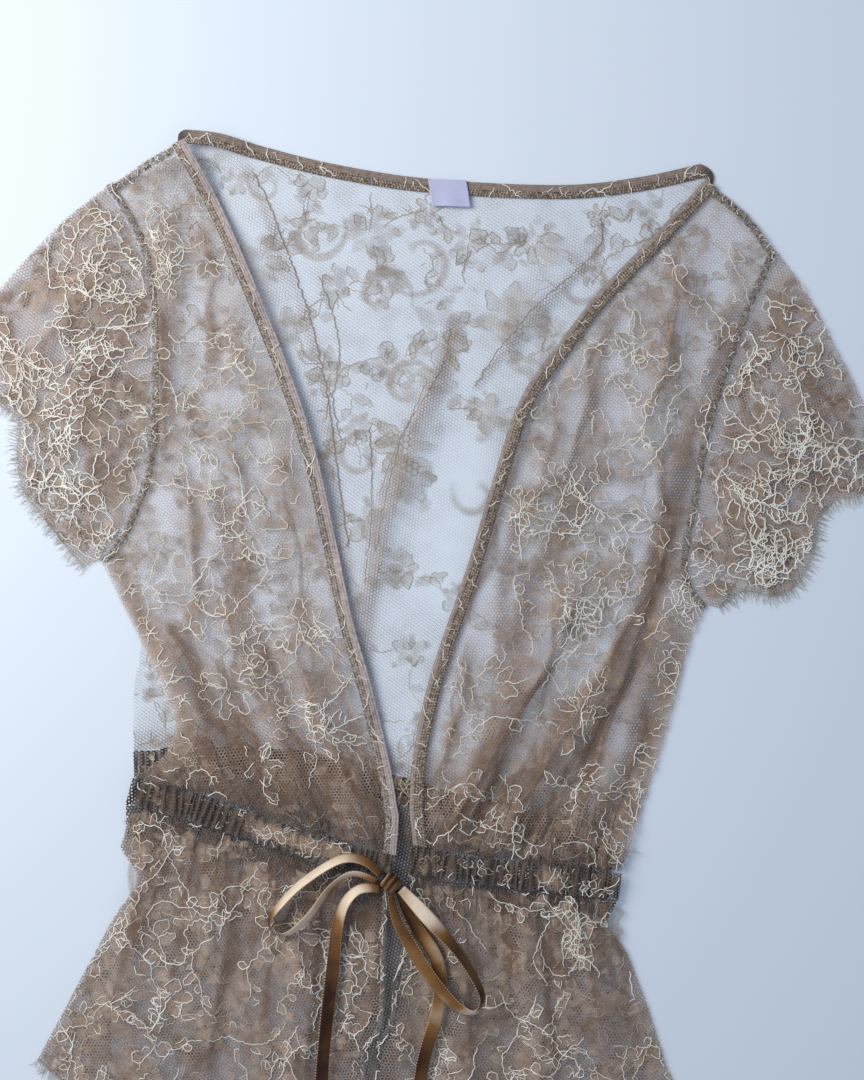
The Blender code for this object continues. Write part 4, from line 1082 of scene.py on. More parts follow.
hems = {}
for side_name, side, armhole, overarm, hem, blooms, creases in (
        ("left", -1, LEFT_ARMHOLE, LEFT_OVERARM, LEFT_SLEEVE_HEM, LEFT_SLEEVE_BLOOMS,
         LEFT_SLEEVE_CREASES),
        ("right", 1, RIGHT_ARMHOLE, RIGHT_OVERARM, RIGHT_SLEEVE_HEM, RIGHT_SLEEVE_BLOOMS,
         RIGHT_SLEEVE_CREASES)):
    seam = beside(curve(armhole, SLEEVE_COLUMNS), side * ARMHOLE_SEAM)
    for half, spread in (("back", SLEEVE_SPREAD), ("front", 0.0)):
        bottom = curve(beside(curve(hem, 60), side * spread), SLEEVE_COLUMNS)
        grid = fill(seam, bottom, curve((seam[0], *overarm[1:-1], bottom[0]), SLEEVE_ROWS),
                    curve((seam[-1], bottom[-1]), SLEEVE_ROWS))
        outline = rim(grid)[::3]
        lie = np.zeros_like(back_under)
        if half == "front":
            puff = SLEEVE_PUFF * (1 - near(outline, plan_x, plan_y, PUFF_START, PUFF_FULL))
            lie = creased(WALL + SEAM + puff, creases)
        name = f"sleeve_{side_name}_{half}"
        hems[name] = (bottom, side, lie)
        openings = [(*place, MESH_GAP) for place in beside(bottom, -side * MESH_INSET)[44:-6:5]]
        dense = 0.08 + 0.2 * steep(lie)
        level = BACK_LEVEL if half == "back" else FRONT_LEVEL
        sleeve_net = lace_panel(f"{name}_net", name, grid, lie, level, 0.8 * side + (half == "back"), dense,
                                back_finish if half == "back" else front_finish, openings)
        work = Work(seed=31 + side, spacing=30, sizes=(11, 17), fill=0.4, brown=0.55, corded=0.35,
                    outlined=0.2, amount=0.55, radius=0.42, streak=1.5, vines=26, lean=270 + 45 * side)
        if half == "back":
            work = work._replace(seed=41 + side, radius=0.24, vines=8)
            trim = embroider(name, outline, (), work, lie, level, -1, under_threads)
        else:
            trim = embroider(name, outline, blooms, work, lie, level, 1, over_threads, creases,
                             border_cords(random.Random(45 + side), bottom, -side))

# Skirt: a short back and two short fronts gathered into the waist, with the lace's scalloped border as hem.
# The fronts don't meet; their inner edges hang open below the bow.
SKIRT_ROWS = 64
SKIRT_BACK_COLUMNS = 190
SKIRT_FRONT_COLUMNS = 96
SCALLOP_WIDTH = 74.0
SCALLOP_DEPTH = 7.0
HEM_GAP = 5.0
HEM_INSET = 8.0
EDGE_WIDTH = 4.0
SKIRT_SHADE = 0.28
SKIRT_LEFT = (
    (-199, -121), (-202, -134), (-191, -153), (-207, -179), (-225, -212), (-242, -244), (-257, -272),
)
SKIRT_RIGHT = ((115, -183), (126, -199), (136, -222), (146, -251), (157, -283), (182, -320))
SKIRT_EDGE_LEFT = ((-29, -192), (-31, -246), (-41, -263), (-42, -283), (-44, -326))
SKIRT_EDGE_RIGHT = (
    (-16, -188), (-21, -203), (-25, -222), (-27, -244), (-36, -262), (-38, -283), (-40, -327),
)
SKIRT_GAP = ((-19, -112), (-21, -150), (-25, -200), (-29, -244), (-38, -263), (-42, -330))
HEM = (
    (-257, -272), (-200, -297), (-120, -317), (-44, -326), (1, -330), (60, -332), (130, -328),
    (182, -320),
)
HEM_LEFT = HEM[:3]
HEM_RIGHT = HEM[5:]
SKIRT_CREASES = rows(
    Fold,
    (-176, -96, -214, -260, 3.0, 1.6), (-150, -104, -176, -250, 2.8, 1.4),
    (-120, -112, -150, -300, 3.2, 1.8), (-98, -120, -112, -270, 2.6, 1.4),
    (-70, -130, -84, -300, 3.0, 1.6), (-48, -140, -56, -290, 2.6, 1.4), (-36, -146, -38, -250, 2.4, 1.2),
    (0, -146, -2, -280, 2.4, 1.4), (20, -148, 26, -300, 3.0, 1.6), (44, -150, 52, -260, 2.6, 1.4),
    (64, -152, 84, -310, 3.0, 1.6), (90, -154, 118, -290, 2.8, 1.4), (110, -156, 140, -280, 2.6, 1.4),
)


def scalloped(points, count):
    """A hem with its scallops: even steps along the curve, pulled in at each notch."""
    plain = curve(points, count)
    scallops = max(round(length_of(plain) / SCALLOP_WIDTH), 1)
    depth = SCALLOP_DEPTH * np.abs(np.sin(np.pi * scallops * np.arange(count + 1) / count))
    return plain + (beside(plain, -1.0) - plain) * depth[:, None]


def hem_openings(bottom):
    return [(*place, HEM_GAP) for place in beside(bottom, HEM_INSET)[4:-4:8]]


rng = random.Random(7)
skirt_gathers = (gathers(rng, waist_edge(WAIST_LEFT, 80, -1), 26, (25, 80), (-108, -94))
                 + gathers(rng, waist_edge(WAIST_RIGHT, 80, -1), 22, (25, 80), (-90, -72))
                 + gathers(rng, waist_edge(WAIST_LEFT, 80, -1), 50, (8, 20), (-104, -92), SHORT_GATHERS)
                 + gathers(rng, waist_edge(WAIST_RIGHT, 80, -1), 40, (8, 20), (-92, -80), SHORT_GATHERS))
skirt_creases = (*SKIRT_CREASES, *skirt_gathers)
skirt_lie = creased(front_under, skirt_creases)
skirt_depth = creased(np.zeros_like(front_under), skirt_creases)
skirt_dense = (0.14 + 0.2 * skirt_depth + 0.22 * steep(front_under)
               + 0.1 * near(waist_front_line, plan_x, plan_y, 8, 50))
# The strip of the back skirt seen between the open skirt fronts below the bow: a closer net, and painted
# shadow.
in_gap = near(curve(SKIRT_GAP, 50), plan_x, plan_y, 6, 24)

top = waist_edge(WAIST_BACK, SKIRT_BACK_COLUMNS, -1)
bottom = scalloped(HEM, SKIRT_BACK_COLUMNS)
grid = fill(top, bottom, curve((top[0], *SKIRT_LEFT), SKIRT_ROWS),
            curve((top[-1], *SKIRT_RIGHT), SKIRT_ROWS))
skirt_back_net = lace_panel("skirt_back_net", "skirt_back", grid, back_lie, BACK_LEVEL, 0.2,
                            back_dense + 0.12 + 0.3 * in_gap, back_finish, hem_openings(bottom),
                            np.maximum(0.6 * in_gap, waist_shade))
hems["skirt_back"] = (bottom, -1, back_lie)
work = Work(seed=51, spacing=34, sizes=(12, 18), fill=0.38, brown=0.4, corded=0.2, outlined=0.3,
            amount=0.5, radius=0.28, streak=1.5, vines=34, lean=268)
trim = embroider("skirt_back", rim(grid)[::3], (), work, back_lie, BACK_LEVEL, -1, under_threads)

skirt_rims = {}
for side_name, side, waist, edge, seed in (("left", -1, WAIST_LEFT, SKIRT_EDGE_LEFT, 61),
                                           ("right", 1, WAIST_RIGHT, SKIRT_EDGE_RIGHT, 62)):
    shares = [width / length_of(curve(waist, 80)) for width in (0.0, EDGE_WIDTH, EDGE_WIDTH + SEAM)]
    corners = [waist_edge(waist, 2, -1, share, 1 - share)[-1 if side < 0 else 0] for share in shares]
    open_edge = curve((corners[0], *edge), SKIRT_ROWS)
    cut = np.vstack((corners[2], beside(open_edge, side * (EDGE_WIDTH + SEAM))[1:]))
    skirt_rims[side_name] = (open_edge, np.vstack((corners[1], beside(open_edge, side * EDGE_WIDTH)[1:])))
    if side < 0:
        top = waist_edge(waist, SKIRT_FRONT_COLUMNS, -1, 0.0, 1 - shares[2])
        bottom = scalloped((*HEM_LEFT, cut[-1]), SKIRT_FRONT_COLUMNS)
        grid = fill(top, bottom, curve((top[0], *SKIRT_LEFT[:-1], bottom[0]), SKIRT_ROWS), cut)
    else:
        top = waist_edge(waist, SKIRT_FRONT_COLUMNS, -1, shares[2], 1.0)
        bottom = scalloped((cut[-1], *HEM_RIGHT), SKIRT_FRONT_COLUMNS)
        grid = fill(top, bottom, cut, curve((top[-1], *SKIRT_RIGHT[:-1], bottom[-1]), SKIRT_ROWS))
    name = f"skirt_front_{side_name}"
    # Painted shade over the whole of each skirt front, deepening towards its casing.
    skirt_net = lace_panel(f"{name}_net", name, grid, skirt_lie, FRONT_LEVEL, 0.6 * side, skirt_dense,
                           front_finish, hem_openings(bottom), waist_shade + SKIRT_SHADE)
    hems[f"skirt_{side_name}"] = (bottom, -1, skirt_lie)
    own = [crease for crease in skirt_creases if (crease.x0 + 20) * side > 0]
    outline = rim(grid)[::3]
    work = Work(seed=seed, spacing=28, sizes=(10, 16), fill=0.4, brown=0.45, corded=0.15, outlined=0.2,
                amount=0.55, radius=0.34, streak=1.6, vines=42, lean=268 + 8 * side)
    trim = embroider(name, outline, (), work, skirt_lie, FRONT_LEVEL, 1, over_threads, own)
    leans = (-98 + 8 * side, -90 + 10 * side)
    lines = gather_shade_lines(seed + 4, waist_edge(waist, 80, -1), 48, (6, 26), leans, outline)
    trim.append(lay_threads(f"{name}_gathers", lines, skirt_lie, FRONT_LEVEL + GATHER_LIFT, GATHER_LINE,
                            gather_shade_thread, "lace"))

# Waist casings: strips of lace sewn flat over the waist seam and drawn up, so that they stand in close
# gathers, with painted shade over them that is darkest in the hollows between them. The ribbon runs
# through the front ones and shows where they thin.
GATHERS_BACK = 60
GATHERS_LEFT = 34
GATHERS_RIGHT = 27
GATHER_POINTS = 12
CASING_ROWS = 8
BACK_CASING_LEVEL = BACK_LEVEL - 0.2
BACK_CASING_TOP = 2.2


def casing(name, node, line, count, heights, level, seed, depth, bare=()):
    """One casing: a strip whose wall waves once for each gather, no two quite alike.

    bare gives the shares of its length where the cloth is pulled thin and the ribbon shows."""
    rng = random.Random(seed)
    columns = count * GATHER_POINTS
    centre = curve(line, columns)
    marks = np.cumsum([0.0] + [rng.uniform(0.6, 1.5) for _ in range(count)])
    even = np.arange(columns + 1) / GATHER_POINTS
    step = np.interp(even, marks * count / marks[-1], np.arange(count + 1))

    def uneven(low, high, stops):
        return np.interp(step, np.arange(stops), [rng.uniform(low, high) for _ in range(stops)])

    ragged = uneven(-1.2, 1.2, count + 1)[:, None]
    upper = beside(centre, CASING_HEIGHT / 2 + ragged)
    lower = beside(centre, ragged[::-1] - CASING_HEIGHT / 2)
    down = np.linspace(0, 1, CASING_ROWS + 1)[:, None, None]
    grid = upper[None] * (1 - down) + lower[None] * down
    base = np.max([sample(heights, *edge.T) for edge in (upper, centre, lower)], axis=0)
    lean = uneven(-0.35, 0.35, count + 2)
    shift = uneven(-0.45, 0.45, count + 2)
    strength = uneven(0.5, 1.3, count + 2)
    middle = uneven(-1.1, 1.1, count + 2)
    side = np.linspace(-1, 1, CASING_ROWS + 1)[:, None]
    slit = np.exp(-((side - middle) / 0.95) ** 2)
    wave = np.abs(np.sin(np.pi * (step + shift + lean * side)))
    height = wave * strength * (0.8 + 0.35 * (1 - side ** 2))
    mesh = draped(name, grid, base[None] + level + GATHER_RISE * height)
    set_uv(mesh, "Net", points_of(mesh)[:, :2] / NET_CELL)
    order = grid_order(mesh, grid)
    shares = np.linspace(0, 1, columns + 1)[order % (columns + 1)]
    inwards = ease((0.9 - np.abs(side[order // (columns + 1), 0])) / 0.5)
    thin = np.ones(len(order))
    for first, last in bare:
        thin *= 1 - 0.85 * ease((shares - first) / 0.06) * ease((last - shares) / 0.06) * inwards
    hollow = ((1 - wave) * strength * slit).ravel()[order]
    set_values(mesh, "dense", (0.7 + 0.3 * hollow) * thin)
    set_values(mesh, "open", np.zeros(len(order)))
    # painted shade: the whole casing is darkened by depth, far more in the hollows between gathers, less
    # where it thins
    set_values(mesh, "painted_shade", np.clip(depth + 2.6 * hollow, 0, 0.97) * (0.3 + 0.7 * thin))
    return place_piece(name, mesh, front_finish, "lace", node), rim(grid)[::3]


on_table = np.zeros_like(back_under)
back_casing, outline = casing("waist_back_net", "casing_back", WAIST_BACK, GATHERS_BACK, on_table,
                              BACK_CASING_LEVEL, seed=71, depth=0.45)
work = Work(seed=72, spacing=26, sizes=(6, 9), fill=0.6, brown=0.9, corded=0.3, outlined=0.3, amount=0.5,
            radius=0.28, streak=1.5, vines=30, lean=80)
trim = embroider("waist_back", outline, (), work, on_table, BACK_CASING_TOP, 1, under_threads)
for side_name, line, count, seed, run, bare in (
        ("left", WAIST_LEFT, GATHERS_LEFT, 73, 0.2, ((0.42, 0.84),)),
        ("right", WAIST_RIGHT, GATHERS_RIGHT, 75, 0.16, ((0.58, 0.74),))):
    front_casing, outline = casing(f"waist_{side_name}_net", f"casing_front_{side_name}", line, count,
                                   front_under, FRONT_LEVEL, seed, depth=0.66, bare=bare)
    work = Work(seed=seed + 1, spacing=24, sizes=(5, 8), fill=0.2, brown=0.7, corded=0.3, outlined=0.2,
                amount=0.6, radius=0.28, streak=1.5, vines=12, lean=80)
    trim = embroider(f"waist_{side_name}", outline, (), work, front_under + GATHER_RISE, FRONT_LEVEL, 1,
                     over_threads)

# Neck binding: a strip of the lace folded over the raw edge of the neck and the V and sewn down with a
# close zigzag, so one part of its width is stitched and brown and the rest is a smooth fold.
BINDING_WALL = 2.0
BINDING_CROWN = 0.7
BAND_COLUMNS = 6
BAND_ROUGHNESS = 0.75
BAND_SPOTS = 420.0
BINDING_COLOURS = ((0.31, 0.235, 0.20, 1.0), (0.085, 0.052, 0.036, 1.0))
LEFT_V_COLOURS = ((0.56, 0.47, 0.45, 1.0), (0.12, 0.078, 0.056, 1.0))
RIGHT_V_COLOURS = ((0.40, 0.31, 0.27, 1.0), (0.10, 0.064, 0.045, 1.0))
RIB_TURNS = 34.0
RIB_TONE = 0.35
SEWN_TONE = 0.62
STITCH_AND_GLINT_COLOUR = (0.64, 0.53, 0.39, 1.0)
STITCH_FLECKS = 950.0
STITCH_HALF = 0.3
STITCH_PITCH = 1.9
STITCH_SHARE = 0.75
CAUGHT_LIFT = 0.2
CAUGHT_RADIUS = 0.38
LEFT_TURN = ((-160.5, 334.2), (-164, 331.5), (-164.5, 326))
RIGHT_TURN = ((181.5, 310), (184.5, 305), (183.5, 298.5))


def along_band(tree):
    """How far along a band each point is, in millimetres, and its share of the way across."""
    place = make(tree, "ShaderNodeUVMap", uv_map="Band").outputs["UV"]
    parts = make(tree, "ShaderNodeSeparateXYZ", {0: place}).outputs
    return parts["X"], parts["Y"]


def band_finish(name, colours, stitched, sheer=False):
    """Sewn lace edge: lengthwise ribs of the folded net, and zigzag stitching over a share of its width."""
    material, tree, shader, place = finish(name, BAND_ROUGHNESS)
    run, across = along_band(tree)
    zigzag = calc(tree, "PINGPONG", calc(tree, "MULTIPLY", run, 2 / STITCH_PITCH), 1.0)
    from_line = calc(tree, "SUBTRACT", calc(tree, "DIVIDE", across, stitched), zigzag)
    line = calc(tree, "LESS_THAN", calc(tree, "ABSOLUTE", from_line), STITCH_HALF)
    sewn = calc(tree, "LESS_THAN", across, stitched)
    waves = calc(tree, "SINE", calc(tree, "MULTIPLY", across, RIB_TURNS))
    ribs = calc(tree, "MULTIPLY_ADD", waves, 0.5, 0.5)
    spots = calc(tree, "MULTIPLY_ADD", cloudy(tree, place, BAND_SPOTS, 4.0), 1.8, -0.9)
    ribbed = calc(tree, "MULTIPLY_ADD", ribs, RIB_TONE, spots)
    tone = calc(tree, "MULTIPLY_ADD", sewn, SEWN_TONE, ribbed, clamp=True)
    # painted shade: each point's shade number mixes the band's colour towards a near-black
    body = mixed(tree, named(tree, "shade"), mixed(tree, tone, *colours), PAINTED_SHADE_COLOUR)
    # the zigzag's pale thread shows in random flecks: the thread's own colour, and painted glints where it
    # catches light
    caught = calc(tree, "LESS_THAN", cloudy(tree, place, STITCH_FLECKS), 0.5)
    stitches = calc(tree, "MULTIPLY", calc(tree, "MULTIPLY", sewn, line), caught)
    colour = mixed(tree, calc(tree, "MULTIPLY", stitches, STITCH_SHARE), body, STITCH_AND_GLINT_COLOUR)
    relief = calc(tree, "MULTIPLY_ADD", ribs, 0.5, stitches)
    cover = None
    if sheer:
        cover = calc(tree, "ADD", calc(tree, "MULTIPLY_ADD", spots, 1.4, 0.62), stitches, clamp=True)
    dress(tree, shader, colour, relief, 0.6, 0.0005, 0.25, cover)
    return material


def lay_band(name, first, second, heights, lift, crown, material, slot, *nodes, shade=None, fade=0.0,
             **values):
    """A narrow crowned strip between two edge curves, with its painted shade and its material's other
    numbers.
    """
    across = np.linspace(0, 1, BAND_COLUMNS + 1)
    grid = first[:, None] * (1 - across[None, :, None]) + second[:, None] * across[None, :, None]
    z = sample(heights, grid[..., 0], grid[..., 1]) + lift + crown * (1 - (2 * across[None] - 1) ** 2)
    mesh = draped(name, grid, z)
    runs = runs_of((first + second) / 2)
    order = grid_order(mesh, grid)
    shares = across[order % (BAND_COLUMNS + 1)]
    stations = order // (BAND_COLUMNS + 1)
    set_uv(mesh, "Band", np.column_stack((runs[stations], shares)))
    set_values(mesh, "shade", np.zeros(len(order)) if shade is None else shade[stations])
    from_end = np.minimum(stations, len(first) - 1 - stations) / len(first)
    faded = (1 - fade * (2 * shares - 1) ** 2) * (1 - fade * (1 - ease(from_end / 0.2)))
    for key, value in values.items():
        set_values(mesh, key, value * faded)
    return place_piece(name, mesh, material, slot, *nodes)


def cross_bits(name, first, second, heights, lift, seed, pitch):
    """Loose bits of the cream cord that the sewn edge has caught, lying across a band."""
    rng = random.Random(seed)
    lines = []
    count = len(first) - 1
    stop = 0.0
    while stop < count:
        i = int(stop)
        j = min(max(i + rng.randint(-6, 6), 0), count)
        ends = (first[i] + (second[i] - first[i]) * rng.uniform(0.0, 0.3),
                first[j] + (second[j] - first[j]) * rng.uniform(0.5, 1.0))
        lines.append(wander(rng, np.linspace(*ends, 5), 0.8))
        stop += rng.uniform(0.4, 1.6) * pitch
    return lay_threads(name, lines, heights, lift, CAUGHT_RADIUS, over_threads[0], "binding")


binding = band_finish("stitched_binding", BINDING_COLOURS, 0.5)
v_bindings = {
    "left": band_finish("pale_folded_binding", LEFT_V_COLOURS, 0.52),
    "right": band_finish("close_stitched_binding", RIGHT_V_COLOURS, 0.72),
}
fine_neck = curve(BACK_NECK, 150)
neck_edges = (beside(fine_neck, SEAM), beside(fine_neck, SEAM + BINDING_WIDTH))
corners = [curve((neck_edges[1][end], *stops), 8) for end, stops in ((0, LEFT_TURN), (-1, RIGHT_TURN))]
neck_edges = (np.vstack((neck_edges[0][:1],) * 8 + (neck_edges[0],) + (neck_edges[0][-1:],) * 8),
              np.vstack((corners[0][:0:-1], neck_edges[1], corners[1][1:])))
from_end = np.minimum(np.arange(len(neck_edges[0])), np.arange(len(neck_edges[0]))[::-1])
# Painted shade inside the neck binding's turned corners, darkest at its ends.
lay_band("back_neck_edge", *neck_edges, back_under, BINDING_WALL - BINDING_CROWN, BINDING_CROWN, binding,
         "binding", "neck_binding_back", shade=np.clip(1.3 - from_end / 8, 0, 0.8))
cross_bits("back_neck_cord", *neck_edges, back_under, BINDING_WALL + CAUGHT_LIFT, seed=81, pitch=5)
for side_name, side, v_edge, waist in (("left", -1, LEFT_V, WAIST_LEFT),
                                       ("right", 1, RIGHT_V, WAIST_RIGHT)):
    share = BINDING_WIDTH / length_of(curve(waist, 80))
    ends = waist_edge(waist, 2, 1, 1 - share, 1.0) if side < 0 else waist_edge(waist, 2, 1, share, 0.0)
    fine = curve(v_edge, 60)
    inner = curve((*fine, ends[-1]), 180)
    outer = curve((*beside(fine, side * BINDING_WIDTH), ends[0]), 180)
    lay_band(f"v_edge_{side_name}", outer, inner, front_under, BINDING_WALL - BINDING_CROWN, BINDING_CROWN,
             v_bindings[side_name], "binding", f"neck_binding_{side_name}")
    cross_bits(f"v_edge_cord_{side_name}", outer, inner, front_under, BINDING_WALL + CAUGHT_LIFT,
               seed=82 + side, pitch=5)

# Skirt edges: the inner edges of the skirt fronts, where the same lace is turned under twice into a thin
# pale roll and held by one row of machine stitches.
EDGE_COLOURS = ((0.40, 0.345, 0.32, 1.0), (0.13, 0.095, 0.078, 1.0))
EDGE_CROWN = 1.0
EDGE_LIFT = 1.0
EDGE_SHADES = {"left": 0.15, "right": 0.6}
rolled = band_finish("rolled_edge", EDGE_COLOURS, 0.45, True)
for side_name, (open_edge, border) in skirt_rims.items():
    shade = EDGE_SHADES[side_name] * (1 + 0.4 * np.sin(np.arange(len(border)) / 3.0))
    lay_band(f"skirt_roll_{side_name}", border, open_edge, front_under, EDGE_LIFT, EDGE_CROWN, rolled,
             "binding", f"skirt_edge_{side_name}", shade=shade)
    cross_bits(f"skirt_edge_cord_{side_name}", border, open_edge, front_under,
               EDGE_LIFT + EDGE_CROWN + CAUGHT_LIFT, seed=95, pitch=4)

# Seams: the shoulders and armholes are overlocked, which shows as dark close-stitched bands, and the lace
# turned in behind the side seams doubles into soft brown streaks.
SEAM_COLOURS = ((0.28, 0.21, 0.17, 1.0), (0.085, 0.055, 0.038, 1.0))
SEAM_WIDTH = 5.0
SEAM_CROWN = 0.6
SEAM_FRAY = 0.35
SEAM_LIFT = 0.3
SEAM_CORD_LIFT = 1.3
SIDE_WIDTH = 17.0
SIDE_CROWN = 0.3
SIDE_LIFT = 0.2
SIDE_CORD_LIFT = 1.0
overlock = band_finish("overlocked_seam", SEAM_COLOURS, 0.8, True)
for name, line, shift in (
        ("armhole_left", LEFT_ARMHOLE, 3.0), ("armhole_right", RIGHT_ARMHOLE, -3.0),
        ("shoulder_left", left_grid[0], -3.6), ("shoulder_right", right_grid[0], -3.6)):
    middle = beside(curve(line, 110), shift)
    edges = []
    for half in (0.5, -0.5):
        frays = [[rng.gauss(0, SEAM_FRAY), rng.gauss(0, SEAM_FRAY)] for _ in middle]
        edges.append(beside(middle, half * SEAM_WIDTH) + np.array(frays))
    lay_band(f"seam_{name}", *edges, front_lie, FRONT_LEVEL + SEAM_LIFT, SEAM_CROWN, overlock, "lace")
    cross_bits(f"seam_cord_{name}", *edges, front_lie, FRONT_LEVEL + SEAM_CORD_LIFT, seed=len(name), pitch=9)
for name, line, shift in (("left", (*LEFT_SIDE_FRONT, left_grid[-1, 0]), 7.0),
                          ("right", (*RIGHT_SIDE, right_grid[-1, -1]), -8.0)):
    middle = beside(curve(line, 110), shift)
    edges = (beside(middle, SIDE_WIDTH / 2), beside(middle, -SIDE_WIDTH / 2))
    lay_band(f"side_{name}", *edges, front_lie, FRONT_LEVEL + SIDE_LIFT, SIDE_CROWN, clothwork, "lace",
             fade=1.0, fill=0.55, brown=0.7)
    cross_bits(f"side_cord_{name}", *edges, front_lie, FRONT_LEVEL + SIDE_CORD_LIFT, seed=90 + len(name),
               pitch=4)

# Eyelash edges: the cut thread ends along the border of the lace, left as a fringe when the strips are
# parted. They are fine, uneven in length and a little spread.
LASH_COLOURS = ((0.56, 0.48, 0.39, 1.0), (0.33, 0.26, 0.2, 1.0))
LASH_PITCH = 1.5
LASH_RADIUS = 0.16
LASH_TAPER = (1.2, 0.9, 0.35)
lash = cord_finish("eyelash_thread", LASH_COLOURS)
for name, (bottom, side, lie) in hems.items():
    rng = random.Random(len(name))
    level = FRONT_LEVEL if lie is not back_lie and lie.max() > 0 else BACK_LEVEL
    count = round(length_of(bottom) / LASH_PITCH)
    roots = curve(bottom, count)
    tips = beside(roots, side)
    lines = []
    for root, tip in zip(roots, tips):
        way = tip - root
        reach = rng.uniform(4.0, 8.5)
        lean = rng.gauss(0, 0.28)
        turned = np.array((way[0] * math.cos(lean) - way[1] * math.sin(lean),
                           way[0] * math.sin(lean) + way[1] * math.cos(lean)))
        bend = np.array((-turned[1], turned[0])) * rng.gauss(0, 0.8)
        stops = np.array((root - way * 1.5, root + turned * reach * 0.5 + bend, root + turned * reach))
        lines.append(np.column_stack((stops, LASH_TAPER)))
    lay_threads(f"{name}_lashes", lines, lie, level, LASH_RADIUS, lash, "eyelash", f"eyelash_{name}")

# Ribbon: one narrow bronze satin ribbon drawn through the front casings and tied in a bow with two loops
# and two hanging ends. The satin has some real gloss; its smooth lengthwise gleam and its dark turns are
# painted highlight and painted shade, set by a tone at each stop. It has a fine woven edge on both sides.
RIBBON_WIDTH = 9.0
RIBBON_THICKNESS = 0.35
RIBBON_CUP = 0.5
RIBBON_COLUMNS = 6
RIBBON_STEP = 2.0
KNOT = (-26.0, -153.4)
KNOT_NEAR = 10.0
KNOT_FAR = 34.0
DRAWN_INSET = 0.02
DRAWN_CROWN = 0.2
# satin colours for a tone of 0, 0.5 and 1: painted shade, the bronze itself, painted highlight
SATIN_SHADE_TO_GLEAM = (
    (0.0, (0.035, 0.011, 0.004, 1.0)), (0.5, (0.27, 0.125, 0.036, 1.0)), (1.0, (0.95, 0.77, 0.59, 1.0)),
)
SATIN_ROUGHNESS = 0.42
SATIN_THREADS = 110.0
SATIN_CLOUDS = 70.0
SATIN_EDGE = (0.62, 0.43, 0.27, 1.0)
SATIN_EDGE_WIDTH = 0.055
SATIN_DASHES = 3.4
Lay = namedtuple("Lay", "x y lift roll width tone")
# Each stop's tone, from 0 to 1, is painted shade or painted highlight where the turned ribbon misses or
# catches light.
LOOP_LEFT = rows(
    Lay,
    (-32.2, -148.4, 5.4, 20, 4, 0.1), (-43, -139, 5.4, 50, 7, 0.45), (-59, -138, 5.4, 62, 9, 0.9),
    (-83, -153, 5.2, 62, 9, 0.95), (-98, -168, 5.2, 66, 9, 0.85), (-104.5, -178, 5.4, 74, 9, 0.0),
    (-101, -186, 5.4, 74, 9, 0.1), (-91, -186, 5.2, 62, 9, 0.95), (-78, -174.5, 5.2, 57, 9, 0.95),
    (-64, -156, 5.2, 58, 8, 0.6), (-50, -147.5, 5.0, 46, 6, 0.85), (-34.4, -153.2, 4.6, 10, 4, 0.05),
)
TAIL_LEFT = rows(
    Lay,
    (-32.6, -157.9, 2.4, 0, 4, 0.2), (-46, -157.5, 4.2, 40, 7, 0.9), (-55.5, -166.5, 4.6, 48, 9, 0.95),
    (-61, -184, 3.8, 34, 9, 0.35), (-63.5, -209, 2.2, 12, 9, 0.12), (-66.5, -234, 2.2, -12, 9, 0.0),
    (-69.5, -264, 3.0, -25, 9, 0.06), (-71, -288, 2.4, -14, 9, 0.05), (-71.5, -306, 1.8, 0, 9, 0.1),
)
LOOP_RIGHT = rows(
    Lay,
    (-19.2, -157.2, 6.1, 0, 6, 0.7), (-4, -173, 8.0, -14, 9, 1.0), (15.6, -195, 6.8, -52, 9, 0.1),
    (28, -214, 6.0, -60, 9, 0.3), (33.5, -228, 5.6, -66, 9, 0.0), (28, -237, 5.6, -62, 9, 0.95),
    (15.6, -232, 6.0, -36, 9, 0.5), (-0.7, -213, 7.6, -22, 9, 0.42), (-13, -194, 7.4, -20, 9, 0.3),
    (-22, -177, 6.6, -16, 7, 0.2), (-26.0, -160.8, 5.5, 0, 4, 0.05),
)
TAIL_RIGHT = rows(
    Lay,
    (-21.8, -158.6, 1.9, 0, 4, 0.1), (-10.4, -182, 1.9, 4, 8, 0.3), (3, -202, 1.9, 0, 9, 0.6),
    (6, -222, 1.8, -4, 9, 0.3), (3.4, -241, 1.9, -8, 9, 0.6), (-2.6, -261, 2.2, -14, 9, 0.15),
    (-6.5, -280, 2.2, -12, 9, 0.12), (-7.2, -302, 1.8, 0, 9, 0.15),
)


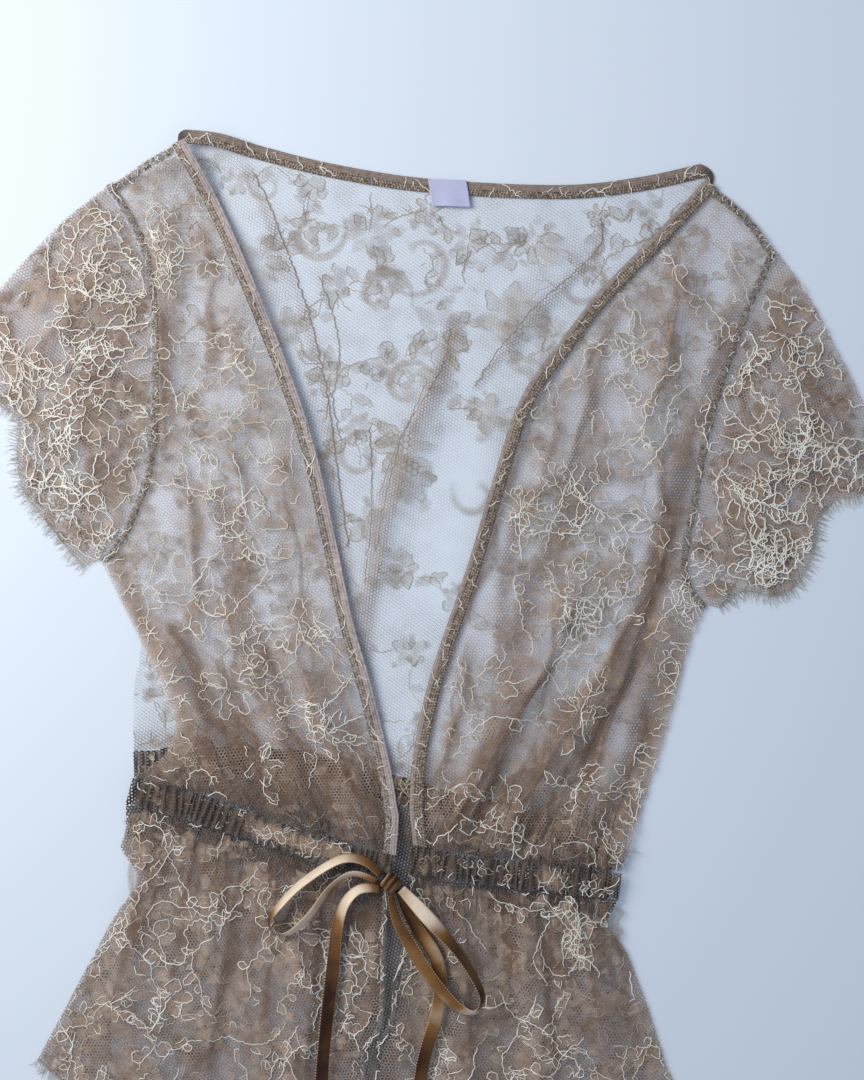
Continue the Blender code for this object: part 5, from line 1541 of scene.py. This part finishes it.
def satin_finish(name):
    """Satin: painted warm gleam and shade from each point's tone, faint lengthwise threads, lighter woven
    edges.
    """
    material, tree, shader, place = finish(name, SATIN_ROUGHNESS)
    run, across = along_band(tree)
    threads = calc(tree, "SINE", calc(tree, "MULTIPLY", across, SATIN_THREADS))
    dashes = calc(tree, "GREATER_THAN", calc(tree, "SINE", calc(tree, "MULTIPLY", run, SATIN_DASHES)), 0.0)
    from_edge = calc(tree, "MINIMUM", across, calc(tree, "SUBTRACT", 1.0, across))
    woven = calc(tree, "MULTIPLY", calc(tree, "LESS_THAN", from_edge, SATIN_EDGE_WIDTH), dashes)
    spots = calc(tree, "MULTIPLY_ADD", cloudy(tree, place, SATIN_CLOUDS), 0.4, -0.2)
    uneven = calc(tree, "MULTIPLY_ADD", threads, 0.04, spots)
    # each point's tone picks painted shade, the bronze, or painted highlight
    ramp = make(tree, "ShaderNodeValToRGB", {0: calc(tree, "ADD", named(tree, "tone"), uneven, clamp=True)})
    ramp.color_ramp.elements.new(0.5)
    for element, (stop, colour) in zip(ramp.color_ramp.elements, SATIN_SHADE_TO_GLEAM):
        element.position = stop
        element.color = colour
    colour = mixed(tree, woven, ramp.outputs["Color"], SATIN_EDGE)
    dress(tree, shader, colour, calc(tree, "MULTIPLY_ADD", threads, 0.3, woven), 0.25, 0.0002, 0.03)
    shader.inputs["Specular IOR Level"].default_value = 0.25
    shader.inputs["Anisotropic"].default_value = 0.6
    return material


def over_knot(heights, x, y):
    """Heights under the bow that start level with the knot's seat and settle to the given layer."""
    seat = sample(on_front, *KNOT)
    away = ease((np.hypot(x - KNOT[0], y - KNOT[1]) - KNOT_NEAR) / (KNOT_FAR - KNOT_NEAR))
    return seat + (sample(heights, x, y) - seat) * away


def calm(heights):
    """The highest of a layer within a ribbon's width, so ribbons don't copy every fold below them."""
    shifts = (-RIBBON_WIDTH, 0, RIBBON_WIDTH)
    return np.max([sample(heights, plan_x + dx, plan_y + dy) for dx in shifts for dy in shifts], axis=0)


def lay_ribbon(name, node, route, heights):
    """A free stretch of ribbon along its route, turned about its length by each stop's roll."""
    count = round(length_of(np.asarray(route)[:, :2]) / RIBBON_STEP)
    stations = curve(route, count)
    levels = over_knot(heights, stations[:, 0], stations[:, 1]) + stations[:, 2]
    middle = np.column_stack((stations[:, :2], levels))
    runs = runs_of(middle)
    bm = bmesh.new()
    bmesh.ops.create_grid(bm, x_segments=count, y_segments=RIBBON_COLUMNS, size=0.5)
    places = []
    painted_light_and_shade = []
    for vert in bm.verts:
        i = round((vert.co.x + 0.5) * count)
        share = vert.co.y
        # painted highlight and shade: the stop's tone, lighter towards one edge
        painted_light_and_shade.append(stations[i, 5] + 0.2 * share)
        along = Vector((*(stations[min(i + 1, count), :2] - stations[max(i - 1, 0), :2]), 0)).normalized()
        turn = Matrix.Rotation(math.radians(stations[i, 3]), 3, along)
        across = turn @ Vector((-along.y, along.x, 0)) * stations[i, 4] * share
        cup = turn @ Vector((0, 0, RIBBON_CUP)) * (0.5 - 4 * share * share)
        places.append((runs[i], share + 0.5))
        vert.co = Vector(middle[i]) + across + cup
    mesh = to_mesh(name, bm)
    set_uv(mesh, "Band", places)
    set_values(mesh, "tone", painted_light_and_shade)
    item = place_piece(name, mesh, satin, "satin", node)
    thick = item.modifiers.new("thickness", "SOLIDIFY")
    thick.thickness = RIBBON_THICKNESS * MM
    thick.offset = 0.0
    return item


satin = satin_finish("bronze_satin")
calm_front = calm(on_front)
lay_ribbon("bow_loop_left", "ribbon_loop_left", LOOP_LEFT, calm_front)
lay_ribbon("bow_loop_right", "ribbon_loop_right", LOOP_RIGHT, calm_front)
lay_ribbon("bow_end_left", "ribbon_tail_left", TAIL_LEFT, on_front)
lay_ribbon("bow_end_right", "ribbon_tail_right", TAIL_RIGHT, on_front)
# The drawn ribbon's tone of 0.72 is a painted highlight over the satin's bronze.
for side_name, line in (("left", WAIST_LEFT), ("right", WAIST_RIGHT)):
    middle = curve(line, 90, DRAWN_INSET, 1 - DRAWN_INSET)
    edges = (beside(middle, RIBBON_WIDTH / 2), beside(middle, -RIBBON_WIDTH / 2))
    lay_band(f"drawn_ribbon_{side_name}", *edges, on_back, RIBBON_WALL - 2 * DRAWN_CROWN, DRAWN_CROWN,
             satin, "satin", f"ribbon_casing_{side_name}", tone=0.72)

# Knot: the same satin ribbon wrapped once round the middle of the bow and pulled tight, so that it bunches
# into soft pleats, with painted shade where they turn under and on one side, painted gleam on the other.
KNOT_CELLS = (56, 24)
KNOT_REACH = (5.2, 6.0, 4.2)
KNOT_LEAN = math.radians(-38)
KNOT_PLEAT = 0.08
knot_low, knot_high = (Vector(corner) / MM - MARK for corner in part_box("ribbon_knot"))
bm = bmesh.new()
bmesh.ops.create_grid(bm, x_segments=KNOT_CELLS[0], y_segments=KNOT_CELLS[1], size=0.5)
places = []
painted_light_and_shade = []
through = Vector((math.cos(KNOT_LEAN), math.sin(KNOT_LEAN), 0.0))
for vert in bm.verts:
    around = math.tau * vert.co.x + math.pi / 2
    share = 2 * vert.co.y
    pleat = math.cos(2.6 * math.pi * share + 0.9 * math.sin(around))
    girth = (1 - 0.42 * share ** 4) * (1 + KNOT_PLEAT * pleat)
    places.append((KNOT_REACH[1] * around, share / 2 + 0.5))
    # painted shade in the pleats' folds and on one side of the wrap, painted highlight on the other
    painted_light_and_shade.append(0.2 + 0.22 * pleat + 0.2 * math.cos(around))
    vert.co = ((knot_low + knot_high) / 2 + through * KNOT_REACH[0] * share
               + Vector((through.y, -through.x, 0.0)) * KNOT_REACH[1] * girth * math.cos(around)
               + Vector((0.0, 0.0, KNOT_REACH[2] * girth * math.sin(around))))
mesh = to_mesh("bow_knot", bm)
set_uv(mesh, "Band", places)
set_values(mesh, "tone", painted_light_and_shade)
place_piece("bow_knot", mesh, satin, "satin", "ribbon_knot")

# Neck label: a short blank tape of white woven satin, caught in the binding's stitching by its upper edge.
# It hangs a little slanted and its free corners lift.
LABEL_ROUGHNESS = 0.5
LABEL_CLOUDS = 160.0
LABEL_THICKNESS = 0.3
LABEL_CELLS = (40, 28)
LABEL_COLOURS = ((0.62, 0.63, 0.85, 1.0), (0.50, 0.51, 0.73, 1.0))
LABEL_SLANT = 3.0
LABEL_WEAVE = 5200.0
tape, tree, shader, place = finish("label_tape", LABEL_ROUGHNESS)
spots = cloudy(tree, place, LABEL_CLOUDS, 3.0)
across = make(tree, "ShaderNodeSeparateXYZ", {0: place}).outputs
weave = calc(tree, "MULTIPLY", calc(tree, "SINE", calc(tree, "MULTIPLY", across["X"], LABEL_WEAVE)),
             calc(tree, "SINE", calc(tree, "MULTIPLY", across["Y"], LABEL_WEAVE)))
dress(tree, shader, mixed(tree, spots, *LABEL_COLOURS), weave, 0.35, 0.0002, 0.2)
label_low, label_high = (Vector(corner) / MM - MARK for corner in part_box("neck_label"))
bm = bmesh.new()
bmesh.ops.create_grid(bm, x_segments=LABEL_CELLS[0], y_segments=LABEL_CELLS[1], size=0.5)
for vert in bm.verts:
    x, y, _ = vert.co
    sag = 0.9 * (0.5 - y) * math.sin(3.0 * x + 0.6) + 0.5 * math.cos(9.0 * x) * (0.5 - y)
    wave = LABEL_SLANT * (0.5 - y) + 0.35 * (0.5 - y) * math.sin(5.0 * y)
    vert.co = (label_low.x + (x + 0.5) * (label_high.x - label_low.x) + wave,
               label_low.y + (y + 0.5) * (label_high.y - label_low.y) - 0.3 * math.sin(4.0 * x),
               label_high.z - 0.5 + 0.6 * sag)
tape_item = place_piece("blank_label", to_mesh("blank_label", bm), tape, "label", "neck_label")
thick = tape_item.modifiers.new("thickness", "SOLIDIFY")
thick.thickness = LABEL_THICKNESS * MM
thick.offset = 0.0
